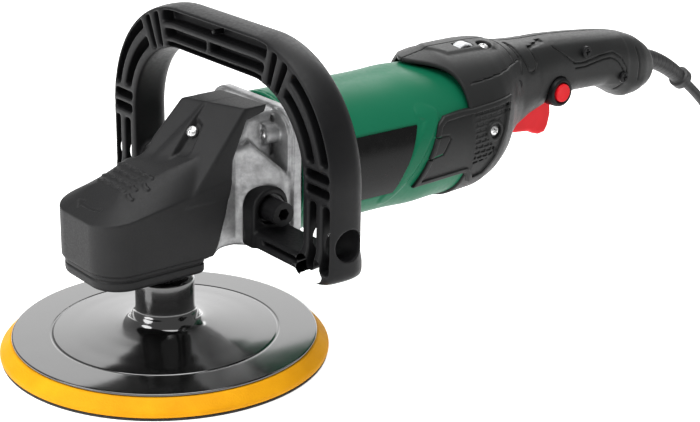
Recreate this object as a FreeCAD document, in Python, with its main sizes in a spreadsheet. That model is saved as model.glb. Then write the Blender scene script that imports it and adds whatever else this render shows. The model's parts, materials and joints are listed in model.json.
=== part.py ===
import FreeCAD, Part
import math
import os
import re
import Sketcher

# Rotary polisher, millimetres.  +Z runs up the spindle, +X runs back along the motor to the
# rear grip, and the origin is the centre of the pad's working face.

DRIVING_SIZES = {
    # polishing pad and backing plate
    "pad_radius": 90.0,
    "hook_layer_thickness": 1.5,
    "foam_thickness": 9.0,
    "foam_bevel": 6.0,
    "plate_margin": 6.6,
    "plate_edge_thickness": 1.6,
    "plate_dish_rise": 6.0,
    "neck_radius": 16.2,
    "neck_top": 43.5,
    "insert_radius": 11.0,
    # spindle
    "thread_radius": 7.0,
    "thread_length": 20.0,
    "spindle_collar_radius": 10.0,
    "spindle_seal_radius": 8.5,
    "bearing_bore_radius": 7.5,
    "bearing_outer_radius": 17.5,
    "bearing_width": 11.0,
    "bearing_floor": 62.0,
    "gear_seat_radius": 7.0,
    "needle_journal_radius": 4.0,
    "running_gap": 0.05,
    "clear_gap": 0.4,
    "lock_pin_radius": 2.0,
    "lock_cap_radius": 5.5,
    "lock_travel": 3.9,
    # bevel gears: apex on the spindle axis at the height of the motor axis
    "motor_axis_height": 95.0,
    "crown_teeth": 35.0,
    "pinion_teeth": 10.0,
    "gear_module": 1.35,
    "tooth_face_width": 6.0,
    # gear housing and covers
    "drum_radius": 28.0,
    "chamber_radius": 25.3,
    "drum_top": 103.0,
    "flange_radius": 40.0,
    "flange_front": 57.5,
    "flange_thickness": 6.0,
    "bearing_cover_thickness": 3.6,
    "cover_front_reach": 53.0,
    "cover_half_width": 30.6,
    "cover_corner_radius": 18.5,
    "cover_bottom": 60.6,
    "cover_crease_front": 88.0,
    "cover_crown": 106.0,
    "cover_ridge_top": 139.0,
    "cover_wall": 2.2,
    # loop handle
    "handle_front": 32.5,
    "handle_depth": 24.0,
    "handle_half_width": 105.5,
    "handle_top": 180.5,
    "handle_bar_height": 24.0,
    "handle_leg_width": 25.5,
    "handle_corner_radius": 69.5,
    "handle_bottom": 63.0,
    "handle_bolt_height": 83.0,
    "handle_bolt_radius": 4.0,
    "handle_seat": 27.0,
    "handle_disc_radius": 12.0,
    "handle_disc_width": 11.0,
    "handle_arm_height": 17.0,
    # motor
    "motor_tube_radius": 40.75,
    "motor_tube_wall": 2.25,
    "motor_tube_rear_top": 163.0,
    "motor_tube_rear_bottom": 203.0,
    "shaft_radius": 5.0,
    "shaft_end_radius": 4.0,
    "pinion_seat_radius": 3.0,
    "armature_radius": 22.0,
    "armature_front": 93.0,
    "armature_length": 42.0,
    "air_gap": 0.6,
    "stator_radius": 37.8,
    "commutator_radius": 12.0,
    "commutator_front": 146.0,
    "commutator_length": 17.0,
    "fan_radius": 33.0,
    "fan_front": 68.5,
    "fan_width": 12.0,
    "rear_bearing_front": 170.0,
    "rear_bearing_width": 7.0,
    "rear_bearing_radius": 11.0,
    "front_bearing_radius": 13.0,
    "front_bearing_width": 8.0,
    # rear handle, trigger, buttons
    "shell_wall": 2.4,
    "trigger_half_width": 7.5,
    "trigger_pivot_x": 241.0,
    "trigger_pivot_z": 91.0,
    "lock_button_radius": 5.7,
    "lock_button_x": 277.0,
    "lock_button_z": 106.0,
    "lock_button_travel": 3.0,
    "dial_radius": 8.0,
    "dial_width": 5.0,
    "dial_x": 206.0,
    "dial_z": 137.3,
    # supply cord
    "cord_diameter": 6.5,
    "coil_turn_diameter": 71.5,
    "coil_turns_across": 3.0,
    "coil_turns_high": 4.0,
    "coil_centre_x": 505.0,
    "coil_side_shift": 23.0,
}

X_AXIS = FreeCAD.Vector(1, 0, 0)
Y_AXIS = FreeCAD.Vector(0, 1, 0)
Z_AXIS = FreeCAD.Vector(0, 0, 1)
ORIGIN = FreeCAD.Vector(0, 0, 0)
TURN_Z_TO = {
    "Z": FreeCAD.Rotation(Z_AXIS, 0),
    "X": FreeCAD.Rotation(Y_AXIS, 90),
    "Y": FreeCAD.Rotation(X_AXIS, -90),
}

doc = FreeCAD.newDocument("RotaryPolisher")
sheet = doc.addObject("Spreadsheet::Sheet", "Sizes")
for row, (alias, value) in enumerate(DRIVING_SIZES.items(), start=1):
    sheet.set(f"A{row}", alias)
    sheet.set(f"B{row}", str(value))
    sheet.setAlias(f"B{row}", alias)
doc.recompute()

sub_parts = []


def size(alias):
    """A driving size, read back from the spreadsheet."""
    return float(sheet.get(alias))


def formula(text):
    """An expression in which each driving size is written by its bare name."""
    return re.sub(
        r"[a-z_]+",
        lambda word: f"Sizes.{word[0]}" if word[0] in DRIVING_SIZES else word[0],
        text,
    )


def bind(thing, **expressions):
    """Ties properties to the spreadsheet; base_x, base_y and base_z stand for the placement."""
    for name, text in expressions.items():
        path = name.replace("base_", "Placement.Base.")
        thing.setExpression(path, formula(text))


def sub_part(label, thing):
    """Registers a finished piece: its label is the name of its file."""
    thing.Label = label
    sub_parts.append(thing)
    return thing


# ---------------------------------------------------------------- builders


def cylinder(name, radius, height, x="0", y="0", z="0", axis="Z"):
    rod = doc.addObject("Part::Cylinder", name)
    rod.Placement = FreeCAD.Placement(ORIGIN, TURN_Z_TO[axis])
    bind(rod, Radius=radius, Height=height, base_x=x, base_y=y, base_z=z)
    return rod


def box(name, x_from, x_to, y_from, y_to, z_from, z_to):
    block = doc.addObject("Part::Box", name)
    bind(
        block,
        Length=f"({x_to}) - ({x_from})",
        Width=f"({y_to}) - ({y_from})",
        Height=f"({z_to}) - ({z_from})",
        base_x=x_from,
        base_y=y_from,
        base_z=z_from,
    )
    return block


def cut(name, base, tool):
    result = doc.addObject("Part::Cut", name)
    result.Base = base
    result.Tool = tool
    return result


def fuse(name, shapes):
    result = doc.addObject("Part::MultiFuse", name)
    result.Shapes = shapes
    return result


def common(name, first, second):
    result = doc.addObject("Part::Common", name)
    result.Base = first
    result.Tool = second
    return result


def compound(name, shapes):
    result = doc.addObject("Part::Compound", name)
    result.Links = shapes
    return result


def sketch_outline(body, plane_role, outline):
    """A closed polygon on one of the body's planes, each corner tied to the spreadsheet."""
    sketch = body.newObject("Sketcher::SketchObject", body.Name + "Outline")
    plane = [item for item in body.Origin.OriginFeatures if item.Role == plane_role][0]
    sketch.AttachmentSupport = [(plane, "")]
    sketch.MapMode = "FlatFace"
    count = len(outline)
    step = 2 * math.pi / count
    corners = [FreeCAD.Vector(math.cos(i * step), math.sin(i * step), 0) for i in range(count)]
    for i in range(count):
        sketch.addGeometry(Part.LineSegment(corners[i], corners[(i + 1) % count]), False)
    for i in range(count):
        sketch.addConstraint(Sketcher.Constraint("Coincident", i, 2, (i + 1) % count, 1))
    for i, (across, up) in enumerate(outline):
        for kind, tag, text in (("DistanceX", "across", across), ("DistanceY", "up", up)):
            index = sketch.addConstraint(Sketcher.Constraint(kind, -1, 1, i, 1, 1.0))
            sketch.renameConstraint(index, f"{tag}{i}")
            sketch.setExpression(f"Constraints.{tag}{i}", formula(text))
    return sketch


def turned(name, outline, x="0", z="0", axis="Z"):
    """A body of revolution; the outline gives radius and distance along the axis."""
    body = doc.addObject("PartDesign::Body", name)
    sketch = sketch_outline(body, "XZ_Plane", outline)
    spin = body.newObject("PartDesign::Revolution", name + "Turn")
    spin.Profile = sketch
    spin.ReferenceAxis = (sketch, ["V_Axis"])
    spin.Angle = 360
    body.Tip = spin
    body.Placement = FreeCAD.Placement(ORIGIN, TURN_Z_TO[axis])
    bind(body, base_x=x, base_z=z)
    return body


def side_plate(name, outline, y_from, y_to):
    """An outline in X and Z, padded along Y between two distances."""
    body = doc.addObject("PartDesign::Body", name)
    sketch = sketch_outline(body, "XZ_Plane", outline)
    pad = body.newObject("PartDesign::Pad", name + "Pad")
    pad.Profile = sketch
    pad.Reversed = True
    bind(pad, Length=f"({y_to}) - ({y_from})")
    body.Tip = pad
    bind(body, base_y=y_from)
    return body


def plan_plate(name, outline, z_from, z_to):
    """An outline in X and Y, padded upwards between two heights."""
    body = doc.addObject("PartDesign::Body", name)
    sketch = sketch_outline(body, "XY_Plane", outline)
    pad = body.newObject("PartDesign::Pad", name + "Pad")
    pad.Profile = sketch
    bind(pad, Length=f"({z_to}) - ({z_from})")
    body.Tip = pad
    bind(body, base_z=z_from)
    return body


def screw_shape(head_radius, head_height, shank_radius, length):
    """A pan-head screw standing head-up on its shank, with a cross recess."""
    head = Part.makeCylinder(head_radius, head_height)
    head = head.makeFillet(head_height * 0.35, [head.Edges[0]])
    slot_length = head_radius * 1.2
    slot_width = head_radius * 0.28
    for turn in (0, 90):
        slot = Part.makeBox(slot_length, slot_width, head_height * 0.6)
        slot.translate(FreeCAD.Vector(-slot_length / 2, -slot_width / 2, head_height * 0.55))
        slot.rotate(ORIGIN, Z_AXIS, turn)
        head = head.cut(slot)
    shank = Part.makeCylinder(shank_radius, length, FreeCAD.Vector(0, 0, -length))
    return head.fuse(shank)


def screws(label, places, head_radius, head_height, shank_radius, length):
    """Identical screws in one node: each place is a point under the head and the head's direction."""
    solids = []
    for point, direction in places:
        screw = screw_shape(head_radius, head_height, shank_radius, length)
        turn = FreeCAD.Rotation(Z_AXIS, FreeCAD.Vector(*direction))
        screw.Placement = FreeCAD.Placement(FreeCAD.Vector(*point), turn)
        solids.append(screw)
    feature = doc.addObject("Part::Feature", label.title().replace("_", ""))
    feature.Shape = Part.makeCompound(solids)
    return sub_part(label, feature)


def made_shape(label, shape):
    """A piece whose form is computed rather than sketched."""
    feature = doc.addObject("Part::Feature", label.title().replace("_", ""))
    feature.Shape = shape
    return sub_part(label, feature)


# ---------------------------------------------------------------- pad and spindle

FOAM_TOP = "(hook_layer_thickness + foam_thickness)"
PLATE_RADIUS = "(pad_radius - plate_margin)"
PLATE_EDGE_TOP = f"({FOAM_TOP} + plate_edge_thickness)"
PLATE_RISE_TOP = f"({FOAM_TOP} + plate_dish_rise)"
SPINDLE_BOTTOM = "(neck_top - thread_length)"
PINION_BACK = "(gear_module * crown_teeth / 2 + 1.5)"
LOCK_HEIGHT = "(bearing_floor + bearing_width + 8)"


def build_pad():
    sub_part("hook_layer", cylinder("HookLayer", "pad_radius - 0.5", "hook_layer_thickness"))
    sub_part(
        "foam_ring",
        turned(
            "FoamRing",
            [
                ("0", "hook_layer_thickness"),
                ("pad_radius - 0.6", "hook_layer_thickness"),
                ("pad_radius", "hook_layer_thickness + 0.9"),
                ("pad_radius", "hook_layer_thickness + 2.5"),
                ("pad_radius - foam_bevel", FOAM_TOP),
                ("0", FOAM_TOP),
            ],
        ),
    )
    sub_part(
        "backing_plate",
        turned(
            "BackingPlate",
            [
                ("insert_radius", FOAM_TOP),
                (PLATE_RADIUS, FOAM_TOP),
                (PLATE_RADIUS, PLATE_EDGE_TOP),
                ("pad_radius * 0.69", f"{PLATE_EDGE_TOP} + 0.5"),
                ("neck_radius + 9", f"{PLATE_RISE_TOP} - 2.2"),
                ("neck_radius + 4", PLATE_RISE_TOP),
                ("neck_radius + 0.8", f"{PLATE_RISE_TOP} + 3"),
                ("neck_radius", f"{PLATE_RISE_TOP} + 6"),
                ("neck_radius", "neck_top - 1.5"),
                ("neck_radius - 1.5", "neck_top"),
                ("insert_radius", "neck_top"),
            ],
        ),
    )
    sub_part(
        "plate_insert",
        turned(
            "PlateInsert",
            [
                ("thread_radius", f"{SPINDLE_BOTTOM} - 4"),
                ("insert_radius", f"{SPINDLE_BOTTOM} - 4"),
                ("insert_radius", "neck_top"),
                ("thread_radius", "neck_top"),
            ],
        ),
    )


def build_spindle():
    seal_bottom = "bearing_floor - bearing_cover_thickness - 2"
    bearing_top = "(bearing_floor + bearing_width)"
    gear_top = f"{bearing_top} + 13"
    sub_part(
        "spindle",
        turned(
            "Spindle",
            [
                ("0", SPINDLE_BOTTOM),
                ("thread_radius - 1", SPINDLE_BOTTOM),
                ("thread_radius", f"{SPINDLE_BOTTOM} + 1"),
                ("thread_radius", "neck_top"),
                ("spindle_collar_radius", "neck_top"),
                ("spindle_collar_radius", seal_bottom),
                ("spindle_seal_radius", seal_bottom),
                ("spindle_seal_radius", "bearing_floor - clear_gap"),
                ("bearing_bore_radius - running_gap", "bearing_floor - clear_gap"),
                ("bearing_bore_radius - running_gap", f"{bearing_top} + clear_gap"),
                ("gear_seat_radius", f"{bearing_top} + clear_gap"),
                ("gear_seat_radius", gear_top),
                ("needle_journal_radius + 1", gear_top),
                ("needle_journal_radius + 1", "drum_top - 10"),
                ("needle_journal_radius - running_gap", "drum_top - 10"),
                ("needle_journal_radius - running_gap", "drum_top - 3"),
                ("0", "drum_top - 3"),
            ],
        ),
    )
    sub_part(
        "spindle_bearing",
        turned(
            "SpindleBearing",
            [
                ("bearing_bore_radius", "bearing_floor"),
                ("bearing_bore_radius + 2", "bearing_floor"),
                ("bearing_bore_radius + 2.4", "bearing_floor + 0.8"),
                ("bearing_outer_radius - 2.4", "bearing_floor + 0.8"),
                ("bearing_outer_radius - 2", "bearing_floor"),
                ("bearing_outer_radius", "bearing_floor"),
                ("bearing_outer_radius", bearing_top),
                ("bearing_outer_radius - 2", bearing_top),
                ("bearing_outer_radius - 2.4", f"{bearing_top} - 0.8"),
                ("bearing_bore_radius + 2.4", f"{bearing_top} - 0.8"),
                ("bearing_bore_radius + 2", bearing_top),
                ("bearing_bore_radius", bearing_top),
            ],
        ),
    )
    sub_part(
        "dust_seal",
        turned(
            "DustSeal",
            [
                ("spindle_seal_radius + running_gap", "bearing_floor - bearing_cover_thickness"),
                ("spindle_seal_radius + 4", "bearing_floor - bearing_cover_thickness"),
                ("spindle_seal_radius + 4", "bearing_floor - 0.6"),
                ("spindle_seal_radius + running_gap", "bearing_floor - 0.6"),
            ],
        ),
    )
    sub_part(
        "top_needle_bearing",
        turned(
            "TopNeedleBearing",
            [
                ("needle_journal_radius", "drum_top - 9.5"),
                ("needle_journal_radius + 2", "drum_top - 9.5"),
                ("needle_journal_radius + 2", "drum_top - 2.5"),
                ("needle_journal_radius", "drum_top - 2.5"),
            ],
        ),
    )


# ---------------------------------------------------------------- bevel gears


def tooth_solid(cone_point, pitch_radius, along_axis, sense, half_thickness):
    """One straight bevel tooth about local Z, its outer end on the pitch circle.

    Every edge of the tooth runs to the cone's apex, so the inner end is the outer end shrunk
    towards that apex.  sense is +1 when the tooth's tip faces up the axis from the cone.
    """
    module = size("gear_module")
    cone_length = math.hypot(pitch_radius, along_axis)
    shrink = (cone_length - size("tooth_face_width")) / cone_length
    out = FreeCAD.Vector(pitch_radius, 0, sense * along_axis) * (1 / cone_length)
    tip_way = FreeCAD.Vector(-out.z, 0, out.x)
    if tip_way.dot(FreeCAD.Vector(along_axis, 0, -sense * pitch_radius)) < 0:
        tip_way = tip_way * -1
    pitch_point = out * cone_length
    ends = []
    for scale in (1.0, shrink):
        ring = []
        for rise, half in (
            (-1.35 * module, half_thickness * 1.45),
            (0.0, half_thickness),
            (0.85 * module, half_thickness * 0.62),
        ):
            ring.append((pitch_point + tip_way * rise, half))
        left = [(point + Y_AXIS * half) * scale for point, half in ring]
        right = [(point - Y_AXIS * half) * scale for point, half in reversed(ring)]
        corners = [corner + cone_point for corner in left + right]
        ends.append(Part.makePolygon(corners + corners[:1]))
    return Part.makeLoft(ends, True, True)


def build_gears():
    """Crown gear on the spindle and pinion on the armature, in mesh at rest."""
    module = size("gear_module")
    crown_count = int(size("crown_teeth"))
    pinion_count = int(size("pinion_teeth"))
    crown_radius = module * crown_count / 2
    pinion_radius = module * pinion_count / 2
    apex_height = size("motor_axis_height")
    half_tooth = module * math.pi / 4 * 0.80

    seat = size("gear_seat_radius")
    inner = crown_radius - size("tooth_face_width") - 1.5
    pitch_height = apex_height - pinion_radius
    base_height = size("bearing_floor") + size("bearing_width") + 3
    rim = crown_radius + 0.6
    slope = pinion_radius / crown_radius
    root_drop = 1.15 * module
    outer_top = pitch_height - root_drop
    inner_top = apex_height - inner * slope - root_drop
    web_top = min(inner_top, outer_top) - 1.0
    blank_points = [
        (seat, base_height),
        (rim - 2, base_height),
        (rim, base_height + 2),
        (rim, outer_top),
        (inner, inner_top),
        (inner - 1.5, web_top),
        (seat, web_top),
    ]
    corners = [FreeCAD.Vector(radius, 0, height) for radius, height in blank_points]
    crown = Part.Face(Part.makePolygon(corners + corners[:1])).revolve(ORIGIN, Z_AXIS, 360)
    apex = FreeCAD.Vector(0, 0, apex_height)
    for index in range(crown_count):
        tooth = tooth_solid(apex, crown_radius, pinion_radius, -1, half_tooth)
        tooth.rotate(ORIGIN, Z_AXIS, (index + 0.5) * 360 / crown_count)
        crown = crown.fuse(tooth)
    made_shape("crown_gear", crown.removeSplitter())

    bore = size("pinion_seat_radius")
    sleeve_bore = size("shaft_end_radius")
    front = crown_radius - size("tooth_face_width") - 1
    back = crown_radius + 1.5
    body_points = [
        (bore, front),
        ((pinion_radius - root_drop) * front / crown_radius, front),
        (pinion_radius - root_drop, crown_radius),
        (pinion_radius - root_drop, back),
        (sleeve_bore + 1.6, back + 1.5),
        (sleeve_bore + 1.6, size("flange_front") - 0.5),
        (sleeve_bore, size("flange_front") - 0.5),
        (sleeve_bore, back + 2.5),
        (bore, back + 2.5),
    ]
    corners = [FreeCAD.Vector(radius, 0, height) for radius, height in body_points]
    pinion = Part.Face(Part.makePolygon(corners + corners[:1])).revolve(ORIGIN, Z_AXIS, 360)
    for index in range(pinion_count):
        tooth = tooth_solid(ORIGIN, pinion_radius, crown_radius, 1, half_tooth)
        tooth.rotate(ORIGIN, Z_AXIS, index * 360 / pinion_count)
        pinion = pinion.fuse(tooth)
    bore_tool = Part.makeCylinder(bore, 80)
    pinion = pinion.cut(bore_tool).removeSplitter()
    feature = made_shape("pinion", pinion)
    feature.Placement = FreeCAD.Placement(apex, TURN_Z_TO["X"])


# ---------------------------------------------------------------- gear head


def build_gear_housing():
    flange_back = "(flange_front + flange_thickness)"
    drum = turned(
        "Drum",
        [
            ("0", "bearing_floor"),
            ("drum_radius", "bearing_floor"),
            ("drum_radius", "drum_top - 8.5"),
            ("needle_journal_radius + 8", "drum_top - 1"),
            ("0", "drum_top - 1"),
        ],
    )
    throat = cylinder(
        "Throat", "front_bearing_radius + 2.4", "flange_front", z="motor_axis_height", axis="X"
    )
    barrel = cylinder(
        "Barrel",
        "drum_radius - 2",
        "flange_front - drum_radius + 2",
        x="drum_radius - 1",
        z="motor_axis_height",
        axis="X",
    )
    flange = cylinder(
        "Flange", "flange_radius", "flange_thickness", x="flange_front", z="motor_axis_height", axis="X"
    )
    spigot = cylinder(
        "Spigot",
        "motor_tube_radius - motor_tube_wall - 0.2",
        "3",
        x=flange_back,
        z="motor_axis_height",
        axis="X",
    )
    solids = [drum, throat, barrel, flange, spigot]
    for side, name in ((1, "Far"), (-1, "Near")):
        y_from = "drum_radius - 8" if side > 0 else "-handle_seat"
        solids.append(
            cylinder(
                f"HandleBoss{name}",
                "12",
                "handle_seat - drum_radius + 8",
                x="handle_front + handle_depth / 2",
                y=y_from,
                z="handle_bolt_height",
                axis="Y",
            )
        )
        y_edges = ("drum_radius - 14", "drum_radius - 10")
        if side < 0:
            y_edges = ("10 - drum_radius", "14 - drum_radius")
        solids.append(
            side_plate(
                f"Gusset{name}",
                [
                    ("12", "motor_axis_height + 6"),
                    ("flange_front + 1", "motor_axis_height + 6"),
                    ("flange_front + 1", "motor_axis_height + 34"),
                ],
                *y_edges,
            )
        )
    casting = fuse("Casting", solids)
    hollows = [
        cylinder("BearingPocket", "bearing_outer_radius", "bearing_width + 0.2", z="bearing_floor - 0.1"),
        cylinder(
            "Chamber",
            "chamber_radius",
            "motor_axis_height - 2.5 - bearing_floor - bearing_width",
            z="bearing_floor + bearing_width",
        ),
        cylinder(
            "NeedlePocket",
            "needle_journal_radius + 2",
            "drum_top - motor_axis_height + 0.1",
            z="motor_axis_height - 2.6",
        ),
        cylinder(
            "LockPinHole", "lock_pin_radius + 0.1", "drum_radius", z=LOCK_HEIGHT, axis="Y"
        ),
        cylinder(
            "PinionTunnel",
            "front_bearing_radius - 2",
            "flange_front + 4",
            z="motor_axis_height",
            axis="X",
        ),
        cylinder(
            "FrontBearingPocket",
            "front_bearing_radius",
            "front_bearing_width + 20",
            x="flange_front + 1",
            z="motor_axis_height",
            axis="X",
        ),
    ]
    for side, name in ((1, "Far"), (-1, "Near")):
        hollows.append(
            cylinder(
                f"HandleThread{name}",
                "handle_bolt_radius",
                "12",
                x="handle_front + handle_depth / 2",
                y="handle_seat - 12" if side > 0 else "-handle_seat",
                z="handle_bolt_height",
                axis="Y",
            )
        )
    for name, y_sign, z_sign in CORNERS:
        hollows.append(
            cylinder(
                f"FlangeHole{name}",
                "2.6",
                "flange_thickness + 4",
                x="flange_front - 0.5",
                y=f"{y_sign}0.5 * flange_radius",
                z=f"motor_axis_height {z_sign} 0.72 * flange_radius",
                axis="X",
            )
        )
    for index, angle in enumerate((45, 135, 225, 315)):
        hollows.append(
            cylinder(
                f"BaseHole{index}",
                "2.0",
                "7.5",
                x=f"(drum_radius - 4.6) * cos({angle})",
                y=f"(drum_radius - 4.6) * sin({angle})",
                z="bearing_floor - 0.1",
            )
        )
    sub_part("gear_housing", cut("GearHousing", casting, fuse("HousingHollows", hollows)))


CORNERS = (("FarTop", "", "+"), ("NearTop", "-", "+"), ("FarBase", "", "-"), ("NearBase", "-", "-"))


def build_bearing_cover():
    """Aluminium plate that closes the gear housing under the spindle bearing."""
    plate = turned(
        "BearingCoverBlank",
        [
            ("spindle_seal_radius + 1", "bearing_floor - bearing_cover_thickness - 1.5"),
            ("spindle_seal_radius + 7", "bearing_floor - bearing_cover_thickness - 1.5"),
            ("spindle_seal_radius + 9", "bearing_floor - bearing_cover_thickness"),
            ("drum_radius", "bearing_floor - bearing_cover_thickness"),
            ("drum_radius", "bearing_floor"),
            ("spindle_seal_radius + 4", "bearing_floor"),
            ("spindle_seal_radius + 4", "bearing_floor - bearing_cover_thickness"),
            ("spindle_seal_radius + 1", "bearing_floor - bearing_cover_thickness"),
        ],
    )
    holes = []
    places = []
    for index, angle in enumerate((45, 135, 225, 315)):
        reach = size("drum_radius") - 4.6
        turn = math.radians(angle)
        bottom = size("bearing_floor") - size("bearing_cover_thickness")
        places.append(((reach * math.cos(turn), reach * math.sin(turn), bottom), (0, 0, -1)))
        holes.append(
            cylinder(
                f"CoverHole{index}",
                "2.0",
                "bearing_cover_thickness + 2",
                x=f"(drum_radius - 4.6) * cos({angle})",
                y=f"(drum_radius - 4.6) * sin({angle})",
                z="bearing_floor - bearing_cover_thickness - 1",
            )
        )
    sub_part("bearing_cover", cut("BearingCover", plate, fuse("BearingCoverHoles", holes)))
    screws("bearing_cover_screws", places, 3.4, 1.8, 1.95, 10.0)


def plan_outline(inset):
    """Half-rounded nose of the head cover, seen from above, inset by a wall."""
    reach = f"(cover_front_reach - {inset})"
    half = f"(cover_half_width - {inset})"
    corner = f"(cover_corner_radius - {inset})"
    points = []
    for angle in (180, 162, 144, 126, 108, 90):
        points.append(
            (f"-{reach} + {corner} * (1 + cos({angle}))", f"{half} - {corner} * (1 - sin({angle}))")
        )
    far_side = points + [("30", half)]
    near_side = [(across, f"-({up})") for across, up in reversed(far_side)]
    return far_side + near_side


def cover_solid(name, inset):
    """Outer or inner volume of the head cover: a nose under a sloping top, and a rear ridge."""
    nose = plan_plate(f"{name}Nose", plan_outline(inset), f"cover_bottom - ({inset})", "cover_ridge_top")
    profile = side_plate(
        f"{name}Profile",
        [
            ("-90", f"cover_bottom - ({inset})"),
            (f"7 - ({inset})", f"cover_bottom - ({inset})"),
            (f"17 - ({inset})", "cover_bottom + 4"),
            (f"26 - ({inset})", "cover_bottom + 37"),
            (f"27 - ({inset})", f"cover_crown + 6 - ({inset})"),
            (f"6 - ({inset})", f"cover_crown + 5 - ({inset})"),
            ("-14", f"cover_crown - 2 - ({inset})"),
            ("-90", f"cover_crease_front - 15 - ({inset})"),
        ],
        "-cover_half_width - 1",
        "cover_half_width + 1",
    )
    ridge = side_plate(
        f"{name}Ridge",
        [
            (f"-4 + ({inset})", f"cover_crown - 4 - ({inset})"),
            (f"22 + ({inset})", f"cover_ridge_top - ({inset})"),
            (f"46 + ({inset})", f"cover_ridge_top - ({inset})"),
            (f"46 + ({inset})", f"cover_crown + 4 - ({inset})"),
            (f"24 - ({inset})", f"cover_crown - 4 - ({inset})"),
        ],
        f"-29 + ({inset})",
        f"9 - ({inset})",
    )
    return fuse(name, [common(f"{name}Head", nose, profile), ridge])


def build_head_cover():
    """Black plastic cap over the front of the gear housing, open behind and below."""
    outside = cover_solid("CoverOutside", "0")
    inside = cover_solid("CoverInside", "cover_wall")
    below = box(
        "CoverOpenBelow",
        "-34",
        "30",
        "0.9 - drum_radius",
        "drum_radius - 0.9",
        "50",
        "cover_bottom + 3",
    )
    neck = cylinder("CoverNeckRoom", "drum_radius", "50", z="motor_axis_height", axis="X")
    drum_room = cylinder("CoverDrumRoom", "drum_radius + 0.2", "60", z="bearing_floor - 20")
    cap_room = cylinder(
        "CoverLockRoom", "lock_cap_radius + 0.3", "cover_half_width + 5", z=LOCK_HEIGHT, axis="Y"
    )
    rooms = fuse("CoverRooms", [inside, below, neck, drum_room, cap_room])
    sub_part("head_cover", cut("HeadCover", outside, rooms))


# ---------------------------------------------------------------- loop handle


def handle_corner(side, name):
    """Quarter of a ring joining the top bar to one leg."""
    start_z = "handle_top - handle_corner_radius"
    start_y = "(handle_half_width - handle_corner_radius)"
    outer = cylinder(f"Corner{name}Outer", "handle_corner_radius", "handle_depth", axis="X")
    inner = cylinder(
        f"Corner{name}Inner", "handle_corner_radius - handle_bar_height", "handle_depth + 2", axis="X"
    )
    for ring, shift in ((outer, "0"), (inner, "1")):
        bind(ring, base_x=f"handle_front - {shift}", base_y=f"{side}{start_y}", base_z=start_z)
    ring = cut(f"Corner{name}Ring", outer, inner)
    y_edges = (start_y, "handle_half_width + 1")
    if side != "":
        y_edges = ("-handle_half_width - 1", f"-{start_y}")
    window = box(
        f"Corner{name}Window",
        "handle_front - 1",
        "handle_front + handle_depth + 1",
        *y_edges,
        start_z,
        "handle_top + 1",
    )
    return common(f"Corner{name}", ring, window)


def build_loop_handle():
    """Closed loop with two legs; each leg turns in at the bottom to a disc bolted to the head."""
    rear = "(handle_front + handle_depth)"
    corner_y = "(handle_half_width - handle_corner_radius)"
    corner_z = "(handle_top - handle_corner_radius)"
    bolt_x = "(handle_front + handle_depth / 2)"
    solids = [
        box(
            "HandleBar",
            "handle_front",
            rear,
            f"-{corner_y}",
            corner_y,
            "handle_top - handle_bar_height",
            "handle_top",
        )
    ]
    tools = []
    for side, name in (("", "Far"), ("-", "Near")):
        far = side == ""
        leg_edges = ("handle_half_width - handle_leg_width", "handle_half_width")
        arm_edges = ("handle_seat + 2", "handle_half_width - 1")
        disc_from = "handle_seat + 0.3" if far else "-handle_seat - 0.3 - handle_disc_width"
        if not far:
            leg_edges = ("-handle_half_width", "handle_leg_width - handle_half_width")
            arm_edges = ("1 - handle_half_width", "-handle_seat - 2")
        solids.append(handle_corner(side, name))
        solids.append(box(f"Leg{name}", "handle_front", rear, *leg_edges, "handle_bottom", corner_z))
        solids.append(
            box(
                f"Arm{name}",
                "handle_front",
                rear,
                *arm_edges,
                "handle_bottom",
                "handle_bottom + handle_arm_height * 0.55",
            )
        )
        post_edges = ("handle_seat + 0.3", "handle_seat + 0.3 + handle_disc_width")
        if not far:
            post_edges = ("-handle_seat - 0.3 - handle_disc_width", "-handle_seat - 0.3")
        solids.append(
            box(
                f"Post{name}",
                f"{bolt_x} - handle_disc_radius",
                f"{bolt_x} + handle_disc_radius",
                *post_edges,
                "handle_bottom",
                "handle_bolt_height",
            )
        )
        solids.append(
            cylinder(
                f"Disc{name}",
                "handle_disc_radius",
                "handle_disc_width",
                x=bolt_x,
                y=disc_from,
                z="handle_bolt_height",
                axis="Y",
            )
        )
        tools.append(
            cylinder(
                f"BoltHole{name}",
                "handle_bolt_radius + 0.3",
                "120",
                x=bolt_x,
                y="handle_seat - 10" if far else "-handle_seat - 110",
                z="handle_bolt_height",
                axis="Y",
            )
        )
        tools.append(
            cylinder(
                f"Recess{name}",
                "handle_disc_radius - 3",
                "handle_disc_width",
                x=bolt_x,
                y="handle_seat + 5" if far else "-handle_seat - 5 - handle_disc_width",
                z="handle_bolt_height",
                axis="Y",
            )
        )
    loop = fuse("HandleLoop", solids)
    sub_part("loop_handle", cut("LoopHandle", loop, fuse("HandleTools", tools)))


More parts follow.
